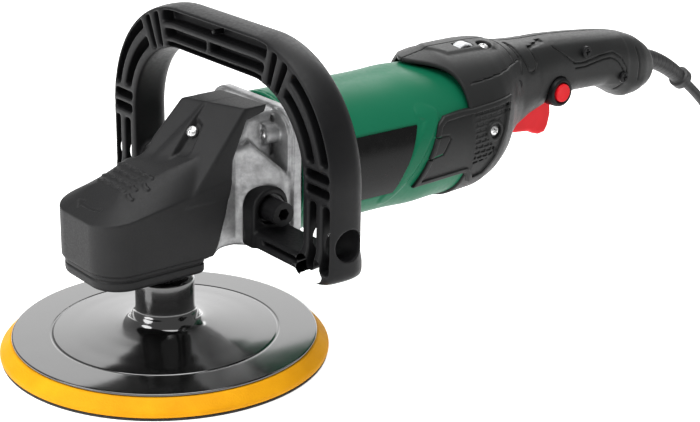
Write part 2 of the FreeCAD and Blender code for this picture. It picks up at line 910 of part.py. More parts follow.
def build_handle_bolts():
    """Hex-socket bolt and washer at each side of the head."""
    bolts = []
    washers = []
    reach = size("handle_seat")
    bolt_x = size("handle_front") + size("handle_depth") / 2
    height = size("handle_bolt_height")
    radius = size("handle_bolt_radius")
    seat = 0.3 + 5.0
    for side in (1, -1):
        turn = FreeCAD.Rotation(Z_AXIS, FreeCAD.Vector(0, side, 0))
        washer = Part.makeCylinder(8, 1.5).cut(Part.makeCylinder(radius + 0.2, 1.5))
        washer.Placement = FreeCAD.Placement(FreeCAD.Vector(bolt_x, side * (reach + seat), height), turn)
        washers.append(washer)
        head = Part.makeCylinder(6.5, 15)
        hexagon = [
            FreeCAD.Vector(3.5 * math.cos(math.radians(60 * i)), 3.5 * math.sin(math.radians(60 * i)), 7)
            for i in range(7)
        ]
        socket = Part.Face(Part.makePolygon(hexagon)).extrude(FreeCAD.Vector(0, 0, 9))
        shank = Part.makeCylinder(radius - 0.05, seat + 10, FreeCAD.Vector(0, 0, -seat - 10))
        bolt = head.cut(socket).fuse(shank)
        bolt.Placement = FreeCAD.Placement(
            FreeCAD.Vector(bolt_x, side * (reach + seat + 1.5), height), turn
        )
        bolts.append(bolt)
    made_shape("handle_bolts", Part.makeCompound(bolts))
    made_shape("handle_washers", Part.makeCompound(washers))


# ---------------------------------------------------------------- motor


def build_armature():
    core_back = "(armature_front + armature_length)"
    sub_part(
        "armature_shaft",
        turned(
            "ArmatureShaft",
            [
                ("0", "13"),
                ("pinion_seat_radius - 0.5", "13"),
                ("pinion_seat_radius", "13.5"),
                ("pinion_seat_radius", f"{PINION_BACK} + 2.5"),
                ("shaft_end_radius", f"{PINION_BACK} + 2.5"),
                ("shaft_end_radius", "flange_front"),
                ("shaft_radius - running_gap", "flange_front"),
                ("shaft_radius - running_gap", "fan_front - 1"),
                ("shaft_radius + 0.5", "fan_front - 1"),
                ("shaft_radius + 0.5", "rear_bearing_front - 1"),
                ("shaft_end_radius - running_gap", "rear_bearing_front - 1"),
                ("shaft_end_radius - running_gap", "rear_bearing_front + rear_bearing_width + 1"),
                ("0", "rear_bearing_front + rear_bearing_width + 1"),
            ],
            z="motor_axis_height",
            axis="X",
        ),
    )
    blank = cylinder(
        "CoreBlank",
        "armature_radius",
        "armature_length",
        "armature_front",
        "0",
        "motor_axis_height",
        "X",
    )
    bore = cylinder(
        "CoreBore",
        "shaft_radius + 0.5",
        "armature_length",
        "armature_front",
        "0",
        "motor_axis_height",
        "X",
    )
    slots = []
    for index in range(12):
        angle = index * 30
        slots.append(
            cylinder(
                f"CoreSlot{index}",
                "1.4",
                "armature_length",
                "armature_front",
                f"(armature_radius - 0.9) * sin({angle})",
                f"motor_axis_height + (armature_radius - 0.9) * cos({angle})",
                "X",
            )
        )
    sub_part("armature_core", cut("ArmatureCore", blank, fuse("CoreCuts", [bore] + slots)))
    ends = []
    for name, x_from, x_to in (
        ("Front", "armature_front - 8", "armature_front"),
        ("Back", core_back, f"{core_back} + 10"),
    ):
        ends.append(
            turned(
                f"Winding{name}",
                [
                    ("shaft_radius + 0.5", x_from),
                    ("armature_radius - 6", x_from),
                    ("armature_radius - 2", f"({x_from}) + 3"),
                    ("armature_radius - 2", f"({x_to}) - 2"),
                    ("armature_radius - 5", x_to),
                    ("shaft_radius + 0.5", x_to),
                ],
                z="motor_axis_height",
                axis="X",
            )
        )
    sub_part("armature_windings", compound("ArmatureWindings", ends))
    copper = turned(
        "CommutatorBlank",
        [
            ("shaft_radius + 0.5", "commutator_front"),
            ("commutator_radius + 1.5", "commutator_front"),
            ("commutator_radius + 1.5", "commutator_front + 2.5"),
            ("commutator_radius", "commutator_front + 2.5"),
            ("commutator_radius", "commutator_front + commutator_length"),
            ("shaft_radius + 0.5", "commutator_front + commutator_length"),
        ],
        z="motor_axis_height",
        axis="X",
    )
    gaps = []
    for index in range(24):
        gap = doc.addObject("Part::Box", f"BarGap{index}")
        bind(gap, Length="commutator_length + 2", Width="0.5", Height="1.2 + 1.5")
        angle = index * 15
        gap.Placement = FreeCAD.Placement(ORIGIN, FreeCAD.Rotation(X_AXIS, angle))
        bind(
            gap,
            base_x="commutator_front - 1",
            base_y=f"-(commutator_radius - 1) * sin({angle}) - 0.25 * cos({angle})",
            base_z=f"motor_axis_height + (commutator_radius - 1) * cos({angle}) - 0.25 * sin({angle})",
        )
        gaps.append(gap)
    sub_part("commutator", cut("Commutator", copper, fuse("BarGaps", gaps)))


def build_fan():
    """Cooling fan on the shaft: a backing disc with radial blades."""
    disc = turned(
        "FanDisc",
        [
            ("shaft_radius + 0.5", "fan_front"),
            ("shaft_radius + 5", "fan_front"),
            ("shaft_radius + 5", "fan_front + fan_width - 2"),
            ("fan_radius", "fan_front + fan_width - 2"),
            ("fan_radius", "fan_front + fan_width"),
            ("shaft_radius + 0.5", "fan_front + fan_width"),
        ],
        z="motor_axis_height",
        axis="X",
    )
    solids = [disc]
    for index in range(12):
        angle = index * 30
        blade = doc.addObject("Part::Box", f"FanBlade{index}")
        blade.Placement = FreeCAD.Placement(ORIGIN, FreeCAD.Rotation(X_AXIS, angle))
        bind(blade, Length="fan_width - 1.5", Width="1.4", Height="fan_radius - 1 - 14")
        bind(
            blade,
            base_x="fan_front",
            base_y=f"-14 * sin({angle})",
            base_z=f"motor_axis_height + 14 * cos({angle})",
        )
        solids.append(blade)
    sub_part("fan", fuse("Fan", solids))


def bearing(label, bore, outer, x_from, width):
    x_to = f"({x_from} + {width})"
    return sub_part(
        label,
        turned(
            label.title().replace("_", ""),
            [
                (bore, x_from),
                (f"{bore} + 1.6", x_from),
                (f"{bore} + 2", f"{x_from} + 0.6"),
                (f"{outer} - 2", f"{x_from} + 0.6"),
                (f"{outer} - 1.6", x_from),
                (outer, x_from),
                (outer, x_to),
                (f"{outer} - 1.6", x_to),
                (f"{outer} - 2", f"{x_to} - 0.6"),
                (f"{bore} + 2", f"{x_to} - 0.6"),
                (f"{bore} + 1.6", x_to),
                (bore, x_to),
            ],
            z="motor_axis_height",
            axis="X",
        ),
    )


def build_motor():
    bearing(
        "front_bearing",
        "shaft_radius",
        "front_bearing_radius",
        "flange_front + 1",
        "front_bearing_width",
    )
    bearing(
        "rear_bearing",
        "shaft_end_radius",
        "rear_bearing_radius",
        "rear_bearing_front",
        "rear_bearing_width",
    )
    sleeve_points = [
        ("rear_bearing_radius", "rear_bearing_front"),
        ("rear_bearing_radius + 2", "rear_bearing_front"),
        ("rear_bearing_radius + 2", "rear_bearing_front + rear_bearing_width + 2"),
        ("0", "rear_bearing_front + rear_bearing_width + 2"),
        ("0", "rear_bearing_front + rear_bearing_width + 1.2"),
        ("rear_bearing_radius", "rear_bearing_front + rear_bearing_width + 1.2"),
    ]
    sub_part("bearing_sleeve", turned("BearingSleeve", sleeve_points, z="motor_axis_height", axis="X"))
    baffle_points = [
        ("fan_radius - 6", "fan_front + fan_width + 1.2"),
        ("motor_tube_radius - motor_tube_wall", "fan_front + fan_width + 1.2"),
        ("motor_tube_radius - motor_tube_wall", "fan_front + fan_width + 4"),
        ("fan_radius - 4", "fan_front + fan_width + 4"),
    ]
    sub_part("fan_baffle", turned("FanBaffle", baffle_points, z="motor_axis_height", axis="X"))

    outer = cylinder(
        "StatorBlank",
        "stator_radius",
        "armature_length",
        "armature_front",
        "0",
        "motor_axis_height",
        "X",
    )
    yoke = cylinder(
        "StatorYoke",
        "stator_radius - 6",
        "armature_length",
        "armature_front",
        "0",
        "motor_axis_height",
        "X",
    )
    poles = common(
        "StatorPoles",
        cylinder(
            "PoleReach",
            "stator_radius - 5",
            "armature_length",
            "armature_front",
            "0",
            "motor_axis_height",
            "X",
        ),
        box(
            "PoleBlock",
            "armature_front",
            "armature_front + armature_length",
            "-armature_radius * 0.55",
            "armature_radius * 0.55",
            "motor_axis_height - stator_radius",
            "motor_axis_height + stator_radius",
        ),
    )
    laminations = fuse("StatorIron", [cut("StatorRing", outer, yoke), poles])
    bore = cylinder(
        "StatorBore",
        "armature_radius + air_gap",
        "armature_length",
        "armature_front",
        "0",
        "motor_axis_height",
        "X",
    )
    sub_part("stator_core", cut("StatorCore", laminations, bore))

    coil_outer = cylinder(
        "CoilOuter",
        "stator_radius - 6.4",
        "armature_length + 12",
        "armature_front - 6",
        "0",
        "motor_axis_height",
        "X",
    )
    coil_inner = cylinder(
        "CoilInner",
        "armature_radius + 2",
        "armature_length + 14",
        "armature_front - 7",
        "0",
        "motor_axis_height",
        "X",
    )
    coil_gap = box(
        "CoilGap",
        "armature_front - 8",
        "armature_front + armature_length + 8",
        "-stator_radius",
        "stator_radius",
        "motor_axis_height - 6",
        "motor_axis_height + 6",
    )
    pole_room = box(
        "CoilPoleRoom",
        "armature_front",
        "armature_front + armature_length",
        "-armature_radius * 0.55 - 0.4",
        "armature_radius * 0.55 + 0.4",
        "motor_axis_height - stator_radius",
        "motor_axis_height + stator_radius",
    )
    sub_part(
        "field_coils",
        cut("FieldCoils", coil_outer, fuse("CoilRooms", [coil_inner, coil_gap, pole_room])),
    )


def build_motor_housing():
    """Green tube over the motor; its rear edge slants back from top to bottom."""
    tube = turned(
        "MotorTube",
        [
            ("motor_tube_radius - motor_tube_wall", "flange_front + flange_thickness"),
            ("motor_tube_radius", "flange_front + flange_thickness"),
            ("motor_tube_radius", "motor_tube_rear_bottom + 1"),
            ("motor_tube_radius - motor_tube_wall", "motor_tube_rear_bottom + 1"),
        ],
        z="motor_axis_height",
        axis="X",
    )
    behind = side_plate(
        "MotorTubeTrim",
        rear_slant("0"),
        "-motor_tube_radius - 5",
        "motor_tube_radius + 5",
    )
    screw_room = []
    for name, y_sign, z_sign in CORNERS:
        screw_room.append(
            cylinder(
                f"PillarHole{name}",
                "2.0",
                "8",
                x="flange_front + flange_thickness - 0.1",
                y=f"{y_sign}0.5 * flange_radius",
                z=f"motor_axis_height {z_sign} 0.72 * flange_radius",
                axis="X",
            )
        )
    pillars = []
    for name, y_sign, z_sign in CORNERS:
        pillars.append(
            cylinder(
                f"Pillar{name}",
                "4.2",
                "fan_front - flange_front - flange_thickness - 3.5",
                x="flange_front + flange_thickness + 3.1",
                y=f"{y_sign}0.5 * flange_radius",
                z=f"motor_axis_height {z_sign} 0.72 * flange_radius",
                axis="X",
            )
        )
    body = fuse("MotorBody", [tube] + pillars)
    rooms = fuse("MotorBodyRooms", [behind] + screw_room)
    sub_part("motor_housing", cut("MotorHousing", body, rooms))


def rear_slant(shift):
    """Everything behind the slanted joint between the motor housing and the rear shells."""
    drop = "(motor_tube_rear_bottom - motor_tube_rear_top) * 12 / (2 * motor_tube_radius)"
    return [
        (f"motor_tube_rear_top - {drop} + {shift}", "motor_axis_height + motor_tube_radius + 12"),
        (f"motor_tube_rear_bottom + {drop} + {shift}", "motor_axis_height - motor_tube_radius - 12"),
        ("480", "motor_axis_height - motor_tube_radius - 12"),
        ("480", "motor_axis_height + motor_tube_radius + 12"),
    ]


def build_flange_screws():
    """Long screws through the flange's corners into the motor housing."""
    reach = size("flange_radius")
    height = size("motor_axis_height")
    places = []
    for y_sign in (1, -1):
        for z_sign in (1, -1):
            point = (size("flange_front"), y_sign * 0.5 * reach, height + z_sign * 0.72 * reach)
            places.append((point, (-1, 0, 0)))
    length = size("fan_front") - size("flange_front") - 0.5
    screws("flange_screws", places, 4.2, 2.6, 1.95, length)


# ---------------------------------------------------------------- rear shells


def shell_sections():
    """Side profile of the rear shells: x, top, bottom, half width and roundness (1 is an ellipse)."""
    tube = size("motor_tube_radius")
    axis = size("motor_axis_height")
    return [
        (140, axis + tube, axis - tube, tube, 1),
        (164, axis + tube + 4.5, axis - tube, tube, 1),
        (184, axis + tube + 8, axis - tube + 1, tube, 1),
        (204, 143.6, 56.5, tube, 1),
        (214, 143.4, 60, 39.5, 1),
        (224, 143, 66, 34, 0.96),
        (233, 142, 74, 28, 0.92),
        (243, 139.8, 83, 24, 0.88),
        (258, 138.6, 90, 21.5, 0.86),
        (280, 138.3, 97, 19.5, 0.86),
        (300, 137, 99.5, 19, 0.86),
        (326, 134.6, 98.6, 19, 0.86),
        (345, 131.8, 88.5, 19.5, 0.86),
        (358, 128, 88, 19, 0.86),
        (369, 121, 91, 16, 0.86),
        (375.5, 114, 97, 11, 0.86),
    ]


def shell_section_wire(x, top, bottom, half_width, roundness):
    """Rounded cross-section: the same sixteen corners in every section, so that lofts stay clean."""
    middle = (top + bottom) / 2
    half_height = (top - bottom) / 2
    points = []
    for step in range(16):
        angle = math.radians(22.5 * step + 11.25)
        across = math.copysign(abs(math.cos(angle)) ** roundness, math.cos(angle))
        up = math.copysign(abs(math.sin(angle)) ** roundness, math.sin(angle))
        points.append(FreeCAD.Vector(x, half_width * across, middle + half_height * up))
    return Part.makePolygon(points + points[:1])


def shell_volume(inset):
    """Solid inside the rear shells' outer surface, inset by a wall."""
    wires = []
    sections = shell_sections()
    for index, (x, top, bottom, half_width, roundness) in enumerate(sections):
        if index == len(sections) - 1:
            x -= inset
        wires.append(shell_section_wire(x, top - inset, bottom + inset, half_width - inset, roundness))
    return Part.makeLoft(wires, True, True)


def trigger_points(grow):
    """Side outline of the trigger, from its pivot at the front to the finger tip behind."""
    x = size("trigger_pivot_x")
    z = size("trigger_pivot_z")
    return [
        (x - 5 - grow, z - 1),
        (x - 3 - grow, z - 6.5 - grow),
        (x + 18, z - 11.5 - grow),
        (x + 24, z - 12.6 - grow),
        (x + 30 + grow, z - 11.5 - grow),
        (x + 33 + grow, z - 5),
        (x + 36 + grow, z + 9 + grow),
        (x - 5 - grow, z + 9 + grow),
    ]


def xz_prism(points, y_from, y_to):
    corners = [FreeCAD.Vector(x, y_from, z) for x, z in points]
    face = Part.Face(Part.makePolygon(corners + corners[:1]))
    return face.extrude(FreeCAD.Vector(0, y_to - y_from, 0))


def vent_points(margin):
    """Side outline of a vent cover: a leaning panel whose rear lower edge is cut back."""
    return [
        (150 + margin, 68 + margin),
        (170 + margin, 101 - margin),
        (214 - margin, 105 - margin),
        (214 - margin, 86),
        (207 - margin, 70 + margin),
        (196, 64 + margin),
    ]


def build_rear_shells():
    """Left and right shells of the rear handle, split at the tool's middle plane."""
    wall = size("shell_wall")
    solid = shell_volume(0).cut(shell_volume(wall))
    front = size("motor_tube_rear_top")
    back = size("motor_tube_rear_bottom")
    tube = size("motor_tube_radius")
    axis = size("motor_axis_height")
    lean = (back - front) * 12 / (2 * tube)
    keep = xz_prism(
        [
            (front - lean + 0.3, axis + tube + 12),
            (back + lean + 0.3, axis - tube - 12),
            (480, axis - tube - 12),
            (480, axis + tube + 12),
        ],
        -60,
        60,
    )
    solid = solid.common(keep)
    trigger_half = size("trigger_half_width") + 0.7
    solid = solid.cut(xz_prism(trigger_points(1.2), -trigger_half, trigger_half))
    dial_half = size("dial_width") / 2 + 0.8
    dial_room = Part.makeCylinder(size("dial_radius") + 1.2, 2 * dial_half)
    dial_room.Placement = FreeCAD.Placement(
        FreeCAD.Vector(size("dial_x"), -dial_half, size("dial_z")), TURN_Z_TO["Y"]
    )
    solid = solid.cut(dial_room)
    button_room = Part.makeCylinder(size("lock_button_radius") + 3.9, 30)
    button_room.Placement = FreeCAD.Placement(
        FreeCAD.Vector(size("lock_button_x"), -40, size("lock_button_z")), TURN_Z_TO["Y"]
    )
    solid = solid.cut(button_room)
    cord_room = Part.makeCylinder(size("cord_diameter") / 2 + 2.6, 20)
    cord_room.Placement = FreeCAD.Placement(FreeCAD.Vector(365, 0, CORD_EXIT_Z), TURN_Z_TO["X"])
    solid = solid.cut(cord_room)
    for label, y_from, y_to in (("rear_shell_left", 0.05, 60), ("rear_shell_right", -60, -0.05)):
        half = solid.common(Part.makeBox(400, y_to - y_from, 200, FreeCAD.Vector(100, y_from, 0)))
        made_shape(label, half)


def build_side_panels():
    """Vent covers and name plates on both flanks, each following the round housing."""
    tube = size("motor_tube_radius")
    axis = size("motor_axis_height")
    ring = Part.makeCylinder(tube + 2.4, 200).cut(Part.makeCylinder(tube + 0.25, 200))
    ring.Placement = FreeCAD.Placement(FreeCAD.Vector(50, 0, axis), TURN_Z_TO["X"])
    thin = Part.makeCylinder(tube + 0.6, 200).cut(Part.makeCylinder(tube + 0.02, 200))
    thin.Placement = FreeCAD.Placement(FreeCAD.Vector(50, 0, axis), TURN_Z_TO["X"])
    plates = []
    for label, y_from, y_to in (("vent_cover_left", 10, 60), ("vent_cover_right", -60, -10)):
        panel = ring.common(xz_prism(vent_points(0), y_from, y_to))
        made_shape(label, panel)
        outline = [(72, 74), (72, 112), (146, 112), (131, 74)]
        plates.append(thin.common(xz_prism(outline, y_from, y_to)))
    made_shape("name_plates", Part.makeCompound(plates))


# ---------------------------------------------------------------- brushes, switch and controls


def build_brushes():
    """Carbon brushes in their holders, each pressed on the commutator by a spring."""
    axis = size("motor_axis_height")
    middle = size("commutator_front") + size("commutator_length") / 2 + 1.5
    contact = size("commutator_radius") + 0.3
    brushes = []
    holders = []
    springs = []
    for side in (1, -1):
        brush = Part.makeBox(6.4, 14, 8, FreeCAD.Vector(middle - 3.2, contact, axis - 4))
        tube = Part.makeBox(10, 17, 12, FreeCAD.Vector(middle - 5, contact + 2, axis - 6))
        tube = tube.cut(Part.makeBox(6.8, 15, 8.4, FreeCAD.Vector(middle - 3.4, contact + 2, axis - 4.2)))
        spring = Part.makeCylinder(2.6, 2.6, FreeCAD.Vector(middle, contact + 14.1, axis), Y_AXIS)
        spring = spring.cut(
            Part.makeCylinder(1.7, 2.6, FreeCAD.Vector(middle, contact + 14.1, axis), Y_AXIS)
        )
        for group, solid in ((brushes, brush), (holders, tube), (springs, spring)):
            group.append(solid if side > 0 else solid.mirror(ORIGIN, Y_AXIS))
    made_shape("carbon_brushes", Part.makeCompound(brushes))
    made_shape("brush_holders", Part.makeCompound(holders))
    made_shape("brush_springs", Part.makeCompound(springs))


def build_switch():
    x = size("trigger_pivot_x")
    z = size("trigger_pivot_z")
    half = size("trigger_half_width")
    body = Part.makeBox(40, 17, 18, FreeCAD.Vector(x - 2, -8.5, z + 14))
    body = body.makeFillet(1.5, [edge for edge in body.Edges if abs(edge.tangentAt(0).y) > 0.9])
    made_shape("switch_body", body)
    lever = xz_prism(trigger_points(0), -half, half)
    crown = [edge for edge in lever.Edges if edge.BoundBox.YLength < 0.1 and edge.CenterOfMass.z < z]
    lever = lever.makeFillet(1.2, crown)
    pin_hole = Part.makeCylinder(1.6, 2 * half + 2)
    pin_hole.Placement = FreeCAD.Placement(FreeCAD.Vector(x, -half - 1, z), TURN_Z_TO["Y"])
    made_shape("trigger", lever.cut(pin_hole))
    pin = Part.makeCylinder(1.55, 2 * half + 20)
    pin.Placement = FreeCAD.Placement(FreeCAD.Vector(x, -half - 10, z), TURN_Z_TO["Y"])
    made_shape("trigger_pin", pin)
    spring_x = x + 24
    coil = Part.makeHelix(1.6, 4.2, 2.6)
    section = Part.Wire(Part.makeCircle(0.35, FreeCAD.Vector(2.6, 0, 0), Y_AXIS))
    spring = Part.Wire(coil).makePipeShell([section], True, True)
    spring.translate(FreeCAD.Vector(spring_x, 0, z + 9.4))
    made_shape("trigger_spring", spring)


def build_lock_button():
    """Round lock-on button in a collar on the right-hand shell."""
    x = size("lock_button_x")
    z = size("lock_button_z")
    radius = size("lock_button_radius")
    face = -24.5
    pocket_end = -10.0
    length = pocket_end - face - size("lock_button_travel") - 0.5
    button = Part.makeCylinder(radius, length)
    button = button.makeFillet(1.2, [button.Edges[0]])
    button.Placement = FreeCAD.Placement(
        FreeCAD.Vector(x, face + length, z), FreeCAD.Rotation(X_AXIS, 90)
    )
    made_shape("lock_on_button", button)
    collar = Part.makeCylinder(radius + 3.6, 7.5)
    collar = collar.makeFillet(1.8, [collar.Edges[0]])
    flange = Part.makeCylinder(radius + 3.3, 2, FreeCAD.Vector(0, 0, -2))
    collar = collar.fuse(flange).cut(Part.makeCylinder(radius + 0.3, 14, FreeCAD.Vector(0, 0, -4)))
    collar.Placement = FreeCAD.Placement(FreeCAD.Vector(x, face + 9.0, z), FreeCAD.Rotation(X_AXIS, 90))
    made_shape("button_collar", collar)


def build_speed_dial():
    """Thumb wheel that stands a little out of a slot on top, over its control module."""
    x = size("dial_x")
    z = size("dial_z")
    width = size("dial_width")
    wheel = Part.makeCylinder(size("dial_radius"), width)
    for index in range(24):
        angle = math.radians(15 * index)
        notch = Part.makeCylinder(
            0.5,
            width,
            FreeCAD.Vector(
                size("dial_radius") * math.cos(angle), size("dial_radius") * math.sin(angle), 0
            ),
        )
        wheel = wheel.cut(notch)
    wheel = wheel.cut(Part.makeCylinder(2.05, width))
    wheel.Placement = FreeCAD.Placement(FreeCAD.Vector(x, -width / 2, z), TURN_Z_TO["Y"])
    made_shape("speed_dial", wheel)
    module = Part.makeBox(34, 26, 10, FreeCAD.Vector(x - 12, -13, z - 22))
    for side in (1, -1):
        ear = Part.makeBox(8, 2, 14.5, FreeCAD.Vector(x - 4, side * (width / 2 + 1.4) - 1, z - 13))
        module = module.fuse(ear)
    axle = Part.makeCylinder(2.0, width + 2.8)
    axle.Placement = FreeCAD.Placement(FreeCAD.Vector(x, -width / 2 - 1.4, z), TURN_Z_TO["Y"])
    made_shape("speed_module", module.fuse(axle).removeSplitter())


def build_spindle_lock():
    """Button on the far side of the gear housing whose pin reaches for the crown gear."""
    cap_foot = "drum_radius + lock_travel + 0.3"
    pin = cylinder(
        "LockPin",
        "lock_pin_radius",
        "lock_travel + 0.3",
        y="drum_radius + clear_gap",
        z=LOCK_HEIGHT,
        axis="Y",
    )
    cap = cylinder("LockCap", "lock_cap_radius", "4.3", y=cap_foot, z=LOCK_HEIGHT, axis="Y")
    sub_part("spindle_lock_button", fuse("SpindleLock", [pin, cap]))


def build_case_screws():
    """Screws that draw the rear shells together, and those of the covers and controls."""
    spots = ((236, 24.2, 118), (300, 18.7, 128), (336, 18.8, 106))
    places = [((x, -y, z), (0, -1, 0)) for x, y, z in spots]
    screws("shell_screws", places, 3.6, 2.0, 1.6, 14)
    places = []
    for side in (1, -1):
        places.append(((205, side * 40.9, 88), (0, side, 0.05)))
    screws("vent_cover_screws", places, 3.2, 1.6, 1.4, 6)


# ---------------------------------------------------------------- supply cord

CORD_EXIT_Z = 109.0


def tangent_path(points):
    """Straight runs joined by tangent arcs, each as large as its two runs allow."""
    edges = []
    radii = []
    start = points[0]
    for before, corner, after in zip(points, points[1:], points[2:]):
        way_in = corner - before
        way_out = after - corner
        run = min(way_in.Length, way_out.Length)
        turn = way_in.getAngle(way_out)
        trim = 0.45 * run
        radii.append(trim / math.tan(turn / 2))
        way_in.normalize()
        way_out.normalize()
        first = corner - way_in * trim
        last = corner + way_out * trim
        inward = way_out - way_in
        inward.normalize()
        depth = radii[-1] / math.cos(turn / 2) - radii[-1]
        edges.append(Part.LineSegment(start, first).toShape())
        edges.append(Part.Arc(first, corner + inward * depth, last).toShape())
        start = last
    edges.append(Part.LineSegment(start, points[-1]).toShape())
    return Part.Wire(edges), radii


def tube_along(points, radius, name):
    path, radii = tangent_path(points)
    way = points[1] - points[0]
    section = Part.Wire(Part.makeCircle(radius, points[0], way))
    tube = path.makePipeShell([section], True, False)
    ideal = math.pi * radius**2 * path.Length
    bends = [round(r) for r in radii]
    print(f"{name}: length {path.Length:.0f}, radii {bends}, volume ratio {tube.Volume / ideal:.4f}")
    return tube


def build_cord():
    """Strain relief, free stretch down to the floor, tied coil, and the plug beside it."""
    radius = size("cord_diameter") / 2
    sleeve_points = [
        FreeCAD.Vector(376.3, 0, CORD_EXIT_Z),
        FreeCAD.Vector(387, 0, 105.4),
        FreeCAD.Vector(398, 0, 100.2),
        FreeCAD.Vector(409, 0, 93.4),
        FreeCAD.Vector(420, 0, 85.3),
    ]
    path, _ = tangent_path(sleeve_points)
    wires = []
    stops = (0.0, 0.25, 0.5, 0.75, 0.92)
    for share in stops:
        point, way = point_on(path, share)
        wires.append(Part.Wire(Part.makeCircle(6.3 - 1.1 * share, point, way)))
    sleeve = Part.makeLoft(wires, True, False)
    collar_start, way = point_on(path, 0.88)
    sleeve = sleeve.fuse(Part.makeCylinder(7.3, 5.0, collar_start, way))
    root = Part.makeCylinder(radius + 2.4, 15.5, FreeCAD.Vector(362, 0, CORD_EXIT_Z), X_AXIS)
    sleeve = sleeve.fuse(root)
    end_face = collar_start + way * 5.0
    made_shape("cord_sleeve", sleeve)

    clamp = Part.makeBox(9, 26, 7, FreeCAD.Vector(349, -13, CORD_EXIT_Z - 3.5 - 7))
    made_shape("cord_clamp", clamp)
    places = [((353.5, side * 9, CORD_EXIT_Z - 10.5), (0, 0, -1)) for side in (1, -1)]
    screws("clamp_screws", places, 2.6, 1.6, 1.2, 6)

    turn_radius = size("coil_turn_diameter") / 2
    across = size("coil_turns_across")
    high = size("coil_turns_high")
    outer_lane = turn_radius + radius * (across - 1)
    lane_y = -size("coil_side_shift")
    centre = FreeCAD.Vector(size("coil_centre_x"), lane_y - outer_lane, 0)
    top_lane = radius * (2 * high - 1)
    route = [
        end_face,
        FreeCAD.Vector(434.5, 0, 74.4),
        FreeCAD.Vector(449.5, -3.0, 57.2),
        FreeCAD.Vector(464.5, -10.0, 41.0),
        FreeCAD.Vector(482.0, -18.0, 28.6),
        FreeCAD.Vector(centre.x, lane_y, top_lane),
    ]
    made_shape("power_cord", tube_along(route, radius, "power_cord"))

    half_width = radius * across
    corner = radius
    section = [
        (turn_radius - half_width + corner * 0.6, 0.0),
        (turn_radius + half_width - corner * 0.6, 0.0),
        (turn_radius + half_width, corner * 0.6),
        (turn_radius + half_width, 2 * radius * high - corner * 0.6),
        (turn_radius + half_width - corner * 0.6, 2 * radius * high),
        (turn_radius - half_width + corner * 0.6, 2 * radius * high),
        (turn_radius - half_width, 2 * radius * high - corner * 0.6),
        (turn_radius - half_width, corner * 0.6),
    ]
    corners = [FreeCAD.Vector(x, 0, z) for x, z in section]
    ring = Part.Face(Part.makePolygon(corners + corners[:1])).revolve(ORIGIN, Z_AXIS, 360)
    ring.translate(centre)
    made_shape("cord_coil", ring)

    tie = Part.makeBox(2 * half_width + 4, 7, 2 * radius * high + 2)
    tie.translate(FreeCAD.Vector(turn_radius - half_width - 2, -3.5, 0))
    tie_room = Part.makeBox(2 * half_width + 0.8, 9, 2 * radius * high + 0.2)
    tie_room.translate(FreeCAD.Vector(turn_radius - half_width - 0.4, -4.5, 0))
    tie = tie.cut(tie_room)
    tie.translate(centre)
    made_shape("coil_tie", tie)

    tail_y = centre.y - outer_lane
    tail = [
        FreeCAD.Vector(centre.x, tail_y, radius),
        FreeCAD.Vector(centre.x - 15, tail_y, radius + 0.0),
        FreeCAD.Vector(centre.x - 31, tail_y, radius + 3.4),
        FreeCAD.Vector(centre.x - 46, tail_y, 12.0),
    ]
    made_shape("cord_tail", tube_along(tail, radius, "cord_tail"))
    plug_start = tail[-1]
    wires = []
    for distance, half_tall, half_wide in (
        (0, 4.6, 4.6),
        (12, 6.0, 7.0),
        (22, 9.0, 14.0),
        (36, 11.0, 17.0),
        (44, 12.0, 17.5),
    ):
        ellipse = Part.Ellipse(plug_start, half_wide, half_tall)
        wire = Part.Wire(ellipse.toShape())
        seat = FreeCAD.Placement(plug_start + FreeCAD.Vector(-distance, 0, 0), PLUG_TURN)
        wire.Placement = seat.multiply(
            FreeCAD.Placement(plug_start * -1, FreeCAD.Rotation())
        )
        wires.append(wire)
    made_shape("plug_body", Part.makeLoft(wires, True, False))
    pins = []
    for side in (1, -1):
        pin_start = plug_start + FreeCAD.Vector(-44, side * 9.5, 0)
        pin = Part.makeCylinder(2.4, 19, pin_start, X_AXIS * -1)
        pins.append(pin)
    made_shape("plug_pins", Part.makeCompound(pins))


PLUG_TURN = FreeCAD.Rotation(
    FreeCAD.Vector(0, 1, 0), FreeCAD.Vector(0, 0, 1), FreeCAD.Vector(1, 0, 0), "ZXY"
)


def point_on(path, share):
    """Point and direction at a share of a path's length."""
    target = share * path.Length
    for edge in path.OrderedEdges:
        if target <= edge.Length + 1e-6:
            parameter = edge.getParameterByLength(min(target, edge.Length))
            way = edge.tangentAt(parameter)
            if edge.Orientation == "Reversed":
                way = way * -1
            return edge.valueAt(parameter), way
        target -= edge.Length
    return path.OrderedEdges[-1].lastVertex().Point, way


# ---------------------------------------------------------------- build, check and write

build_pad()
build_spindle()
build_gears()
build_gear_housing()
build_bearing_cover()
build_head_cover()
build_loop_handle()
build_handle_bolts()
build_armature()
build_fan()
build_motor()
build_motor_housing()
build_flange_screws()
build_rear_shells()
build_side_panels()
build_brushes()
build_switch()
build_lock_button()
build_speed_dial()
build_spindle_lock()
build_case_screws()
build_cord()

doc.recompute()

faults = []
for item in doc.Objects:
    if "Invalid" in item.State or "Error" in item.State:
        faults.append(f"{item.Name}: {item.State}")
for item in sub_parts:
    if item.Shape.isNull() or not item.Shape.isValid() or item.Shape.Volume <= 0:
        faults.append(f"{item.Label}: bad shape")
if faults:
    raise RuntimeError("; ".join(faults))

os.makedirs("parts", exist_ok=True)
for item in sub_parts:
    item.Shape.exportStep(os.path.join("parts", item.Label + ".step"))
print(len(sub_parts), "sub-parts written")
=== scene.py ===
import json
import math

import bmesh
import bpy
import numpy as np
from mathutils import Matrix, Vector


